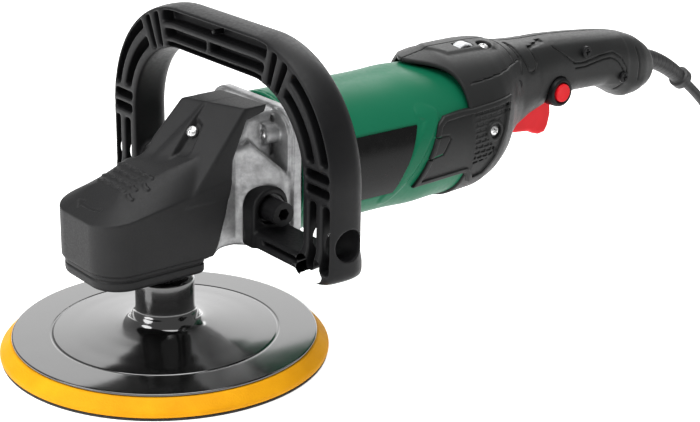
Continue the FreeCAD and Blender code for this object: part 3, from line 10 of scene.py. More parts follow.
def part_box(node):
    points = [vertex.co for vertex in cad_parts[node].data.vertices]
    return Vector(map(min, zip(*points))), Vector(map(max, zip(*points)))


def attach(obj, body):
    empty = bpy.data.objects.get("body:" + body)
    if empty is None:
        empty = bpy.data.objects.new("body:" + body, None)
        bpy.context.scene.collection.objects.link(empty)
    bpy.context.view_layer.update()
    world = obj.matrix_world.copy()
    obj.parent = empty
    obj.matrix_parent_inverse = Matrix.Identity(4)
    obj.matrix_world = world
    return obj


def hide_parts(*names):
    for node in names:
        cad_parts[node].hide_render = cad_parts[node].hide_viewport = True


# Rotary polisher.  Shapes are worked out in millimetres in the part's own frame (+Z up the
# spindle, +X back along the motor, origin at the pad's working face) and scaled to metres
# when they become meshes.

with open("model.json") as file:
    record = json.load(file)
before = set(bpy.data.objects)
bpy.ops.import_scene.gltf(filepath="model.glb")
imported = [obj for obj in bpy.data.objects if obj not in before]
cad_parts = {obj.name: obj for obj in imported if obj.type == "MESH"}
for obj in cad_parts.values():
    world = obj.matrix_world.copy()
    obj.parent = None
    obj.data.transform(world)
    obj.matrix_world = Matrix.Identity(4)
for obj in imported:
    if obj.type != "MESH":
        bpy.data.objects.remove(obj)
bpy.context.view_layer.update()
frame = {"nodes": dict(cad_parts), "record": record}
MM = 0.001
MOTOR_AXIS = 95
BUTTON_CENTRE = (277, 0, 106)


# ---------------------------------------------------------------- camera, light and floor


def aim(azimuth, elevation, roll, target, distance):
    """Placement of something that looks at a target; azimuth 0 looks along +Y."""
    a = math.radians(azimuth)
    e = math.radians(elevation)
    r = math.radians(roll)
    back = Vector((math.sin(a) * math.cos(e), -math.cos(a) * math.cos(e), math.sin(e)))
    right = Vector((math.cos(a), math.sin(a), 0))
    up = back.cross(right)
    right_rolled = right * math.cos(r) + up * math.sin(r)
    up_rolled = up * math.cos(r) - right * math.sin(r)
    turn = Matrix((right_rolled, up_rolled, back)).transposed().to_4x4()
    return Matrix.Translation(Vector(target) * MM + back * distance * MM) @ turn


def make_camera():
    data = bpy.data.cameras.new("camera")
    data.lens = 85.2
    data.sensor_width = 36.0
    camera = bpy.data.objects.new("camera", data)
    bpy.context.scene.collection.objects.link(camera)
    camera.matrix_world = aim(-38.74, 19.99, 1.05, (128.65, 0.0, 52.78), 974.26)
    bpy.context.scene.camera = camera


def area_light(name, azimuth, elevation, distance, size, power):
    data = bpy.data.lights.new(name, "AREA")
    data.shape = "DISK"
    data.size = size
    data.energy = power
    light = bpy.data.objects.new(name, data)
    bpy.context.scene.collection.objects.link(light)
    light.matrix_world = aim(azimuth, elevation, 0, (130, 0, 80), distance)


def make_stage():
    bpy.ops.mesh.primitive_plane_add(size=8, location=(0, 0, 0))
    floor = bpy.context.object
    floor.name = "floor"
    material = bpy.data.materials.new("pale_floor")
    material.use_nodes = True
    shader = material.node_tree.nodes["Principled BSDF"]
    shader.inputs["Base Color"].default_value = (0.9, 0.9, 0.9, 1)
    shader.inputs["Roughness"].default_value = 0.7
    shader.inputs["Emission Color"].default_value = (1, 1, 1, 1)
    shader.inputs["Emission Strength"].default_value = 0.62
    floor.data.materials.append(material)
    world = bpy.data.worlds.new("studio")
    world.use_nodes = True
    background = world.node_tree.nodes["Background"]
    background.inputs["Color"].default_value = (1, 1, 1, 1)
    background.inputs["Strength"].default_value = 0.42
    bpy.context.scene.world = world
    area_light("overhead", -60, 80, 1200, 1.2, 17)
    area_light("key", -98, 24, 1300, 0.7, 9)
    area_light("rim", 120, 40, 1400, 0.8, 6)
    area_light("backdrop", 140, 17, 1500, 1.5, 7)
    bpy.context.scene.view_settings.view_transform = "Standard"


make_camera()
make_stage()


# ---------------------------------------------------------------- materials


class Recipe:
    """Builds one node material: a principled shader with named texture steps."""

    def __init__(self, name, color, roughness, metallic=0.0, **sockets):
        self.material = bpy.data.materials.new(name)
        self.material.use_nodes = True
        self.tree = self.material.node_tree
        self.shader = self.tree.nodes["Principled BSDF"]
        self.shader.inputs["Base Color"].default_value = (*color, 1)
        self.shader.inputs["Roughness"].default_value = roughness
        self.shader.inputs["Metallic"].default_value = metallic
        for socket, value in sockets.items():
            self.shader.inputs[socket.replace("_", " ")].default_value = value
        self.where = self.tree.nodes.new("ShaderNodeTexCoord").outputs["Object"]
        self.height = None

    def link(self, source, target):
        self.tree.links.new(source, target)

    def noise(self, per_mm, detail=3.0, roughness=0.55):
        node = self.tree.nodes.new("ShaderNodeTexNoise")
        node.inputs["Scale"].default_value = per_mm / MM
        node.inputs["Detail"].default_value = detail
        node.inputs["Roughness"].default_value = roughness
        self.link(self.where, node.inputs["Vector"])
        return node.outputs["Fac"]

    def cells(self, per_mm):
        node = self.tree.nodes.new("ShaderNodeTexVoronoi")
        node.inputs["Scale"].default_value = per_mm / MM
        self.link(self.where, node.inputs["Vector"])
        return node.outputs["Distance"]

    def span(self, value, from_low, from_high, to_low, to_high):
        node = self.tree.nodes.new("ShaderNodeMapRange")
        for socket, number in (
            ("From Min", from_low),
            ("From Max", from_high),
            ("To Min", to_low),
            ("To Max", to_high),
        ):
            node.inputs[socket].default_value = number
        self.link(value, node.inputs["Value"])
        return node.outputs["Result"]

    def tones(self, value, low, high, from_low=0.3, from_high=0.7):
        """Colour that drifts between two tones with a texture."""
        mix = self.tree.nodes.new("ShaderNodeMix")
        mix.data_type = "RGBA"
        self.link(self.span(value, from_low, from_high, 0, 1), mix.inputs["Factor"])
        mix.inputs["A"].default_value = (*low, 1)
        mix.inputs["B"].default_value = (*high, 1)
        self.link(mix.outputs["Result"], self.shader.inputs["Base Color"])

    def gloss(self, value, low, high):
        self.link(self.span(value, 0.3, 0.7, low, high), self.shader.inputs["Roughness"])

    def bump(self, value, depth_mm, strength=1.0):
        node = self.tree.nodes.new("ShaderNodeBump")
        node.inputs["Strength"].default_value = strength
        node.inputs["Distance"].default_value = depth_mm * MM
        self.link(value, node.inputs["Height"])
        if self.height is not None:
            self.link(self.height, node.inputs["Normal"])
        self.height = node.outputs["Normal"]
        self.link(self.height, self.shader.inputs["Normal"])


def spark_plastic():
    """Black nylon with a spark-eroded grain."""
    recipe = Recipe("black_nylon_grain", (0.007, 0.007, 0.0072), 0.5, Specular_IOR_Level=0.24)
    recipe.tones(recipe.noise(0.03, 2), (0.006, 0.006, 0.0065), (0.0105, 0.0105, 0.011))
    recipe.gloss(recipe.noise(1.2, 2), 0.46, 0.6)
    recipe.bump(recipe.noise(1.6, 2, 0.6), 0.09, 0.55)
    return recipe.material


def handle_plastic():
    """Black nylon of the loop handle, moulded smoother, with a soft sheen."""
    recipe = Recipe("black_nylon_satin", (0.005, 0.005, 0.0055), 0.4, Specular_IOR_Level=0.16)
    recipe.tones(recipe.noise(0.02, 2), (0.004, 0.004, 0.0045), (0.0075, 0.0075, 0.008))
    recipe.gloss(recipe.noise(0.5, 3), 0.36, 0.5)
    recipe.bump(recipe.noise(1.1, 3, 0.6), 0.05, 0.4)
    return recipe.material


def gloss_plate_plastic():
    """Glossy backing plate with faint handling marks."""
    coat = {"Coat_Weight": 0.8, "Coat_Roughness": 0.1, "Coat_IOR": 1.8}
    recipe = Recipe("gloss_black", (0.003, 0.003, 0.003), 0.13, **coat)
    recipe.tones(recipe.noise(0.02, 3), (0.0025, 0.0025, 0.0025), (0.0045, 0.0045, 0.0045))
    recipe.gloss(recipe.noise(0.05, 4), 0.09, 0.2)
    recipe.bump(recipe.noise(0.06, 2), 0.12, 0.1)
    return recipe.material


def grey_plastic():
    recipe = Recipe("dark_grey_plastic", (0.013, 0.0134, 0.0134), 0.5, Specular_IOR_Level=0.2)
    recipe.tones(recipe.noise(0.02, 2), (0.011, 0.0113, 0.0113), (0.016, 0.0164, 0.0164))
    recipe.gloss(recipe.noise(0.6, 3), 0.38, 0.5)
    recipe.bump(recipe.noise(1.3, 2, 0.6), 0.05, 0.45)
    return recipe.material


def green_plastic():
    recipe = Recipe("green_nylon", (0.004, 0.115, 0.056), 0.42, Specular_IOR_Level=0.14)
    recipe.tones(recipe.noise(0.015, 2), (0.003, 0.107, 0.051), (0.006, 0.125, 0.062))
    recipe.gloss(recipe.noise(0.4, 3), 0.33, 0.43)
    recipe.bump(recipe.noise(0.8, 2), 0.025, 0.3)
    return recipe.material


def foam_yellow():
    recipe = Recipe("yellow_foam", (0.66, 0.29, 0.002), 0.6, Specular_IOR_Level=0.12)
    recipe.tones(recipe.noise(0.05, 4), (0.62, 0.26, 0.001), (0.72, 0.33, 0.003))
    recipe.bump(recipe.cells(0.9), 0.18, 0.5)
    recipe.bump(recipe.noise(0.25, 3), 0.2, 0.3)
    return recipe.material


def hook_cloth():
    recipe = Recipe("hook_cloth", (0.01, 0.01, 0.01), 0.9)
    recipe.tones(recipe.cells(0.6), (0.006, 0.006, 0.006), (0.02, 0.02, 0.02))
    recipe.bump(recipe.cells(0.8), 0.5, 0.8)
    return recipe.material


def cast_metal():
    """Die-cast aluminium, tumbled: mottled grey with a fine pebbled skin."""
    recipe = Recipe("cast_aluminium", (0.4, 0.4, 0.4), 0.46, 0.6, Specular_IOR_Level=0.3)
    mottle = recipe.noise(0.11, 5, 0.65)
    recipe.tones(mottle, (0.2, 0.2, 0.203), (0.42, 0.422, 0.426), 0.3, 0.7)
    recipe.gloss(recipe.noise(0.35, 4), 0.3, 0.55)
    recipe.bump(recipe.noise(0.4, 4, 0.6), 0.25, 0.5)
    recipe.bump(recipe.noise(1.4, 2), 0.06, 0.4)
    return recipe.material


def machined_metal(name, color, roughness):
    recipe = Recipe(name, color, roughness, 1.0)
    recipe.tones(recipe.noise(0.15, 3), tuple(0.85 * c for c in color), color)
    recipe.gloss(recipe.noise(0.8, 3), roughness * 0.8, roughness * 1.3)
    recipe.bump(recipe.noise(2.0, 2), 0.02, 0.3)
    return recipe.material


def red_plastic():
    recipe = Recipe("red_plastic", (0.62, 0.008, 0.014), 0.36, Specular_IOR_Level=0.14)
    recipe.tones(recipe.noise(0.06, 2), (0.57, 0.006, 0.011), (0.67, 0.01, 0.017))
    recipe.gloss(recipe.noise(0.5, 3), 0.28, 0.4)
    recipe.bump(recipe.noise(1.2, 2), 0.03, 0.3)
    return recipe.material


def light_plastic():
    recipe = Recipe("light_plastic", (0.6, 0.61, 0.62), 0.45)
    recipe.tones(recipe.noise(0.3, 2), (0.55, 0.56, 0.57), (0.64, 0.65, 0.66))
    recipe.bump(recipe.noise(1.5, 2), 0.03, 0.3)
    return recipe.material


def cord_rubber():
    recipe = Recipe("cord_rubber", (0.012, 0.012, 0.0125), 0.5)
    recipe.tones(recipe.noise(0.08, 3), (0.009, 0.009, 0.0095), (0.017, 0.017, 0.018))
    recipe.bump(recipe.noise(0.7, 3), 0.05, 0.4)
    return recipe.material


def label_film():
    recipe = Recipe("label_film", (0.002, 0.002, 0.002), 0.3, Specular_IOR_Level=0.16)
    recipe.tones(recipe.noise(0.05, 2), (0.003, 0.003, 0.003), (0.0045, 0.0045, 0.0045))
    recipe.gloss(recipe.noise(0.2, 3), 0.18, 0.3)
    recipe.bump(recipe.noise(0.05, 2), 0.05, 0.1)
    return recipe.material


MATERIALS = {
    "spark": spark_plastic(),
    "handle": handle_plastic(),
    "gloss": gloss_plate_plastic(),
    "grey": grey_plastic(),
    "green": green_plastic(),
    "foam": foam_yellow(),
    "hooks": hook_cloth(),
    "cast": cast_metal(),
    "steel": machined_metal("ground_steel", (0.56, 0.56, 0.58), 0.25),
    "zinc": machined_metal("zinc_screw", (0.7, 0.7, 0.7), 0.3),
    "iron": machined_metal("lamination_steel", (0.2, 0.2, 0.21), 0.4),
    "copper": machined_metal("copper", (0.72, 0.36, 0.2), 0.3),
    "brass": machined_metal("brass", (0.78, 0.6, 0.3), 0.25),
    "red": red_plastic(),
    "light": light_plastic(),
    "rubber": cord_rubber(),
    "film": label_film(),
}


# ---------------------------------------------------------------- shapes by signed distance


class Block:
    """A box of space sampled on a regular grid; x, y and z broadcast against each other."""

    def __init__(self, low, high, step):
        self.low = np.array(low, np.float32)
        self.step = step
        counts = np.ceil((np.array(high) - np.array(low)) / step).astype(int) + 1
        lines = [self.low[i] + step * np.arange(counts[i], dtype=np.float32) for i in range(3)]
        self.x = lines[0][:, None, None]
        self.y = lines[1][None, :, None]
        self.z = lines[2][None, None, :]


def join(a, b, soft=0.0):
    """Union of two fields, with a fillet of about the given size."""
    if soft <= 0:
        return np.minimum(a, b)
    h = np.maximum(soft - np.abs(a - b), 0) / soft
    return np.minimum(a, b) - h * h * soft / 4


def meet(a, b, soft=0.0):
    return -join(-a, -b, soft)


def carve(a, b, soft=0.0):
    """The first field with the second taken out."""
    return -join(-a, b, soft)


def slab(w, low, high):
    return np.abs(w - (low + high) / 2) - (high - low) / 2


def corner_round(a, b, radius):
    """Where two half spaces meet, with the corner between them rounded."""
    return np.minimum(np.maximum(a, b), 0) + np.hypot(np.maximum(a, 0), np.maximum(b, 0)) - radius


def extrude(outline, thickness, edge=0.0):
    """A flat outline given a thickness, its rims rounded."""
    return corner_round(outline + edge, thickness + edge, edge)


def rounded_box(x, y, z, low, high, edge=0.0):
    parts = [slab(w, low[i], high[i]) + edge for i, w in enumerate((x, y, z))]
    outside = np.sqrt(sum(np.maximum(p, 0) ** 2 for p in parts))
    return outside + np.minimum(np.maximum(np.maximum(parts[0], parts[1]), parts[2]), 0) - edge


def rod(u, v, centre, radius):
    """Distance to a round outline in two coordinates."""
    return np.hypot(u - centre[0], v - centre[1]) - radius


def polygon(u, v, corners):
    """Signed distance to a closed polygon in two coordinates."""
    nearest = None
    inside = None
    count = len(corners)
    for i in range(count):
        ax, ay = corners[i]
        bx, by = corners[(i + 1) % count]
        ex, ey = bx - ax, by - ay
        du, dv = u - ax, v - ay
        along = np.clip((du * ex + dv * ey) / (ex * ex + ey * ey), 0, 1)
        gap = (du - ex * along) ** 2 + (dv - ey * along) ** 2
        nearest = gap if nearest is None else np.minimum(nearest, gap)
        crossing = ((v >= ay) != (v >= by)) & (ex * dv * np.sign(ey) < ey * du * np.sign(ey))
        inside = crossing if inside is None else inside ^ crossing
    return np.where(inside, -1, 1) * np.sqrt(nearest)


def plane(x, y, z, points, inner):
    """Signed distance to a plane through three points, negative on the side of inner."""
    a, b, c = (np.array(p, float) for p in points)
    normal = np.cross(b - a, c - a)
    normal /= np.linalg.norm(normal)
    if normal @ (np.array(inner, float) - a) > 0:
        normal = -normal
    return (x - a[0]) * normal[0] + (y - a[1]) * normal[1] + (z - a[2]) * normal[2]


EDGE_ENDS = [
    (start, start | (1 << axis)) for axis in range(3) for start in range(8) if not start & (1 << axis)
]


def surface_mesh(block, field):
    """Vertices and quads of the field's zero surface, one vertex in each cell that it crosses."""
    field = np.ascontiguousarray(field, np.float32)
    inside = field < 0
    shape = np.array(field.shape) - 1
    corner_slices = []
    for corner in range(8):
        offset = [(corner >> axis) & 1 for axis in range(3)]
        corner_slices.append(tuple(slice(o, o + n) for o, n in zip(offset, shape)))
    total = sum(inside[s].astype(np.int8) for s in corner_slices)
    cells = np.argwhere((total > 0) & (total < 8))
    index = np.full(shape, -1, np.int32)
    index[tuple(cells.T)] = np.arange(len(cells))
    values = np.stack([field[s][tuple(cells.T)] for s in corner_slices])
    place = np.zeros((len(cells), 3))
    weight = np.zeros(len(cells))
    for start, end in EDGE_ENDS:
        a, b = values[start], values[end]
        cross = (a < 0) != (b < 0)
        share = np.where(cross, a / np.where(cross, a - b, 1), 0)
        for axis in range(3):
            base = (start >> axis) & 1
            step = ((end >> axis) & 1) - base
            place[:, axis] += np.where(cross, base + share * step, 0)
        weight += cross
    place = (cells + place / weight[:, None]) * block.step + block.low
    quads = []
    for axis in range(3):
        u, v = (axis + 1) % 3, (axis + 2) % 3
        low = [slice(None)] * 3
        high = [slice(None)] * 3
        low[axis] = slice(0, -1)
        high[axis] = slice(1, None)
        change = inside[tuple(low)] != inside[tuple(high)]
        edge = np.argwhere(change)
        edge = edge[(edge[:, u] > 0) & (edge[:, v] > 0) & (edge[:, u] < shape[u]) & (edge[:, v] < shape[v])]
        ring = []
        for du, dv in ((1, 1), (0, 1), (0, 0), (1, 0)):
            cell = edge.copy()
            cell[:, u] -= du
            cell[:, v] -= dv
            ring.append(index[tuple(cell.T)])
        quad = np.stack(ring, 1)
        flip = ~inside[tuple(edge.T)]
        quad[flip] = quad[flip][:, ::-1]
        quads.append(quad)
    return place, np.concatenate(quads)


def settle(block, field, points, rounds=2):
    """Moves surface points along the field's slope until they lie on its zero level."""
    field = np.asarray(field, np.float32)
    top = np.array(field.shape) - 2

    def sample(where):
        cell = np.clip(np.floor((where - block.low) / block.step).astype(int), 0, top)
        part = (where - block.low) / block.step - cell
        result = 0
        for corner in range(8):
            offset = np.array([(corner >> axis) & 1 for axis in range(3)])
            share = np.prod(np.where(offset, part, 1 - part), axis=1)
            result = result + share * field[tuple((cell + offset).T)]
        return result

    for _ in range(rounds):
        value = sample(points)
        slope = np.stack(
            [
                sample(points + step) - sample(points - step)
                for step in np.eye(3) * block.step * 0.5
            ],
            1,
        ) / block.step
        length = np.maximum((slope**2).sum(1), 0.25)
        shift = -value / length
        points = points + slope * np.clip(shift, -block.step * 0.5, block.step * 0.5)[:, None]
    return points


def build_mesh(name, points, faces, material):
    mesh = bpy.data.meshes.new(name)
    mesh.vertices.add(len(points))
    mesh.vertices.foreach_set("co", (np.asarray(points) * MM).astype(np.float32).ravel())
    counts = faces.shape[1]
    mesh.loops.add(faces.size)
    mesh.loops.foreach_set("vertex_index", faces.astype(np.int32).ravel())
    mesh.polygons.add(len(faces))
    mesh.polygons.foreach_set("loop_start", np.arange(0, faces.size, counts, dtype=np.int32))
    mesh.update(calc_edges=True)
    mesh.validate()
    mesh.shade_smooth()
    piece = bpy.data.objects.new(name, mesh)
    bpy.context.scene.collection.objects.link(piece)
    mesh.materials.append(MATERIALS[material])
    return piece


def sculpt(name, block, field, material, body, replaces):
    """A piece whose surface is a field's zero level."""
    full = np.broadcast_to(field, (block.x.shape[0], block.y.shape[1], block.z.shape[2]))
    points, faces = surface_mesh(block, full)
    points = settle(block, full, points)
    piece = build_mesh(name, points, faces, material)
    finish_piece(piece, body, replaces)


def finish_piece(piece, body, replaces=()):
    """Rides a piece on its body, and hides the CAD nodes it stands for."""
    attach(piece, body)
    if replaces:
        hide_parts(*replaces)


STEP = 0.6

# ---------------------------------------------------------------- mains cord and its coil

CORD_RADIUS = 3.25
CORD_EXIT = (419.19, 0.0, 85.89)
COIL_CENTRE = (505.0, -65.25)
LANES = (42.25, 35.75, 29.25, 29.25, 35.75, 42.25) * 2
TURN_POINTS = 16
LAYER = 2 * CORD_RADIUS
COIL_TOP = 3.5 * LAYER
LAST_TURN = len(LANES) - 1


def coil_points():
    """Control points of the wound turns, clockwise from above, from the top layer down."""
    points = []
    swell = 1 / math.cos(math.pi / TURN_POINTS)
    for step in range(1, TURN_POINTS * len(LANES) + TURN_POINTS // 2 + 1):
        turn, part = divmod(step / TURN_POINTS, 1)
        turn = int(turn)
        lane = LANES[min(turn, LAST_TURN)]
        height = COIL_TOP - LAYER * (min(turn, LAST_TURN) // 3)
        if turn < LAST_TURN:
            shift = min(max((part - 0.8) / 0.15, 0), 1)
            sink = min(max((part - 0.65) / 0.15, 0), 1)
            lane += (LANES[turn + 1] - lane) * shift
            height += (COIL_TOP - LAYER * ((turn + 1) // 3) - height) * sink
        angle = math.pi / 2 - 2 * math.pi * step / TURN_POINTS
        points.append(
            (
                COIL_CENTRE[0] + lane * swell * math.cos(angle),
                COIL_CENTRE[1] + lane * swell * math.sin(angle),
                height,
            )
        )
    return points


def build_cord():
    route = [
        CORD_EXIT,
        (434.5, 0.0, 74.4),
        (449.5, -3.0, 57.2),
        (464.5, -10.0, 41.0),
        (482.0, -18.0, 28.6),
        (505.0, -23.0, 22.75),
    ]
    route += coil_points()
    route += [(490.0, -107.5, 3.25), (474.0, -107.5, 6.65), (459.0, -107.5, 12.0)]
    data = bpy.data.curves.new("mains_cord", "CURVE")
    data.dimensions = "3D"
    data.bevel_depth = CORD_RADIUS * MM
    data.bevel_resolution = 6
    data.resolution_u = 6
    data.use_fill_caps = True
    spline = data.splines.new("NURBS")
    spline.points.add(len(route) - 1)
    for point, place in zip(spline.points, route):
        point.co = (*(c * MM for c in place), 1)
    spline.order_u = 3
    spline.use_endpoint_u = True
    cord = bpy.data.objects.new("mains_cord", data)
    bpy.context.scene.collection.objects.link(cord)
    data.materials.append(MATERIALS["rubber"])
    finish_piece(cord, "housing", ("power_cord", "cord_coil", "cord_tail"))


build_cord()


# ---------------------------------------------------------------- polishing pad


def ring_faces(rows, steps):
    """Quads between rows of points that each go once round."""
    a = np.arange(rows - 1)[:, None] * steps
    b = np.arange(steps)[None, :]
    c = (b + 1) % steps
    return np.stack([a + b, a + c, a + steps + c, a + steps + b], -1).reshape(-1, 4)


def close_ends(piece, weld):
    """Closes a turned piece's open ends; weld first joins the points that fall together."""
    tidy = bmesh.new()
    tidy.from_mesh(piece.data)
    if weld:
        bmesh.ops.remove_doubles(tidy, verts=tidy.verts, dist=1e-6)
    bmesh.ops.holes_fill(tidy, edges=[e for e in tidy.edges if e.is_boundary], sides=0)
    bmesh.ops.recalc_face_normals(tidy, faces=tidy.faces)
    tidy.to_mesh(piece.data)
    tidy.free()
    piece.data.shade_smooth()


def lathe(
    name, profile, material, body, replaces, centre=(0, 0, 0), axis="Z", segments=180
):
    """A turned piece: profile points are radius and height along the axis."""
    steps = segments
    angles = np.linspace(0, 2 * np.pi, steps, endpoint=False)
    ring = np.array(profile, float)
    radius, height = ring[:, 0][:, None], ring[:, 1][:, None]
    u, v = radius * np.cos(angles), radius * np.sin(angles)
    w = np.broadcast_to(height, u.shape)
    order = (u, v, w) if axis == "Z" else (v, w, u)
    points = np.stack(order, -1).reshape(-1, 3) + np.array(centre)
    piece = build_mesh(name, points, ring_faces(len(ring), steps), material)
    close_ends(piece, weld=True)
    finish_piece(piece, body, replaces)
    return piece


def rounded_path(corners, radii, steps=6):
    """A polyline with its corners rounded, for lathe profiles."""
    path = [corners[0]]
    for i in range(1, len(corners) - 1):
        before, here, after = (np.array(corners[i + k], float) for k in (-1, 0, 1))
        reach = radii[i]
        if reach <= 0:
            path.append(tuple(here))
            continue
        start = here + (before - here) * min(0.5, reach / np.linalg.norm(before - here))
        end = here + (after - here) * min(0.5, reach / np.linalg.norm(after - here))
        for k in range(steps + 1):
            t = k / steps
            path.append(tuple(start * (1 - t) ** 2 + here * 2 * t * (1 - t) + end * t * t))
    path.append(corners[-1])
    return path


def build_pad():
    lathe(
        "hook_disc",
        rounded_path([(0, 0), (89.4, 0), (89.6, 1.5), (0, 1.5)], [0, 0.6, 0.2, 0]),
        "hooks",
        "spindle_assembly",
        ("hook_layer",),
    )
    foam = lathe(
        "foam_pad",
        rounded_path(
            [(0, 1.5), (89.0, 1.5), (90.0, 2.3), (90.0, 4.4), (86.4, 8.2), (84.2, 10.4), (0, 10.5)],
            [0, 0.5, 0.6, 1.6, 2, 0.9, 0],
        ),
        "foam",
        "spindle_assembly",
        ("foam_ring",),
        segments=360,
    )
    plate = [
        (10.4, 10.5),
        (83.0, 10.5),
        (83.4, 10.9),
        (83.4, 11.8),
        (82.9, 12.1),
        (79.5, 12.15),
        (66, 12.3),
        (62.9, 12.35),
        (62.4, 12.05),
        (61.6, 12.05),
        (61.1, 12.45),
        (50, 13.3),
        (38, 14.6),
        (28, 15.9),
        (22.5, 16.9),
        (20.4, 18.0),
        (18.9, 19.6),
        (18.3, 21.4),
        (17.6, 22.8),
        (16.9, 23.6),
        (16.2, 25.2),
        (16.2, 41.2),
        (16.0, 42.2),
        (14.6, 43.5),
        (10.4, 43.5),
    ]
    lathe(
        "backing_disc",
        rounded_path(plate, [0, 0.3, 0.3, 0.3, 0.4, 3, 3, 0.4, 0.3, 0.3, 0.5] + [3] * 12 + [0]),
        "gloss",
        "spindle_assembly",
        ("backing_plate",),
        segments=256,
    )


build_pad()


# ---------------------------------------------------------------- loop handle


def handle_outline(y, z, half, top, corner):
    """Rounded outline of the loop, open at the bottom; y is measured from the middle plane."""
    across = np.abs(y) - (half - corner)
    up = z - (top - corner)
    return corner_round(across, up, corner)


def handle_channels(x, y, z, outer):
    """Moulded channels in the front face, as one field that is negative inside them."""
    inward = -outer
    across = np.abs(y) - 36
    up = z - 111
    reach = np.maximum(np.hypot(across, up), 20)
    angle = np.arctan2(up, across)
    draft = 0.06 * (x - 32.5)

    def around(low, high):
        """Between two angles about the corner, in millimetres of arc."""
        return np.maximum(math.radians(low) - angle, angle - math.radians(high)) * reach

    leg = 78 - np.abs(y)
    parts = []
    for low, high in ((2.9, 8.4), (13.4, 19.4)):
        parts.append(meet(slab(inward, low, high), meet(slab(z, 68, 104.6), leg), 2.4))
        parts.append(meet(slab(inward, low, high), meet(124.4 - z, around(0, 57.6), 1), 2.4))
    for low, high in ((108.6, 113.4), (116.4, 121.2)):
        parts.append(meet(slab(inward, 3.0, 21.8), meet(slab(z, low, high), leg), 2.4))
    for low, high in ((61.6, 66.0), (70.0, 74.4)):
        parts.append(meet(slab(inward, 3.2, 22.6), around(low, high), 2.2))
    web = 1.3 - np.abs(y - 4.2)
    parts.append(meet(slab(inward, 2.8, 9.6), around(78.0, 400), 2.4))
    parts.append(meet(meet(slab(inward, 12.8, 17.8), around(78.6, 400), 2.2), web, 1))
    parts.append(meet(slab(inward, 20.2, 22.7), around(79.4, 400), 1.6))
    parts.append(meet(slab(z, 67.6, 69.8), slab(np.abs(y), 46, 78), 1.6))
    total = parts[0]
    for part in parts[1:]:
        total = np.minimum(total, part)
    return total + draft


HANDLE_BOLT = (44.5, 83)


def build_loop_handle():
    block = Block((31.2, -106.6, 61.8), (57.6, 106.6, 181.6), STEP)
    x, y, z = block.x, block.y, block.z
    side = np.abs(y)
    outer = handle_outline(y, z, 105.5, 180.5, 69.5)
    crown = ((x - 43.5) / 12) ** 2
    loop = meet(outer + 1.9 * crown, -handle_outline(y, z, 80, 156.5, 45.5) + 0.9 * crown, 2.0)
    loop = meet(loop, 32.5 - x, 2.2)
    loop = meet(loop, x - 56.5, 9)
    loop = meet(loop, 63 - z, 5.5)
    arm = rounded_box(x, side, z, (32.5, 29, 63), (56.5, 97, 72.4), 2.6)
    loop = join(loop, arm, 9)
    boss = rod(x, z, HANDLE_BOLT, 8.8)
    loop = join(loop, meet(boss, slab(side, 76.8, 84), 1.2), 3)
    end = join(rod(x, z, HANDLE_BOLT, 12), rounded_box(x, 0 * x, z, (32.5, -1, 63), (56.5, 1, 83)), 0)
    loop = join(loop, extrude(end, slab(side, 27, 38), 1.5), 2.5)
    loop = carve(loop, meet(rod(x, z, HANDLE_BOLT, 8.4), 34.2 - side, 0.8), 0.8)
    loop = carve(loop, meet(rod(x, z, HANDLE_BOLT, 4.4), side - 60), 0.4)
    loop = carve(loop, meet(rod(x, z, HANDLE_BOLT, 4.2), 102.6 - side), 0.4)
    channels = meet(handle_channels(x, y, z, outer), x - 40.5, 0.8)
    loop = carve(loop, channels, 1.3)
    pin = meet(np.hypot(y - 0.7, z - 173.6) - 1.4, slab(x, 33.6, 41.5), 0.5)
    loop = join(loop, pin, 0.4)
    sculpt("loop_handle_shell", block, loop, "handle", "housing", ("loop_handle",))


build_loop_handle()


# ---------------------------------------------------------------- head cover


def cover_roof(x, edge):
    """Height of the cover's top surface; edge is the distance in from its outline."""
    rise = np.clip((x + 45) / 60, 0, 1)
    rise = rise * rise * (3 - 2 * rise)
    inward = np.clip(edge / (24 - 14 * rise), 0, 1)
    crease = 88 + 0.17 * np.clip(x + 53, 0, 74)
    return crease + (8 + 8 * rise) * (1 - (1 - inward) ** 1.6)


def arrow_field(x, y):
    """Bent arrow that shows which way the pad turns: an arc about the spindle with a head."""
    radius = np.hypot(x, y)
    angle = np.degrees(np.arctan2(y, -x))
    band = np.maximum(np.abs(radius - 46) - 0.8, np.abs(angle + 4) - 11)
    head = polygon(x, y, [(-43.2, 5.0), (-48.4, 5.4), (-44.6, 11.4)])
    return np.minimum(band, head)


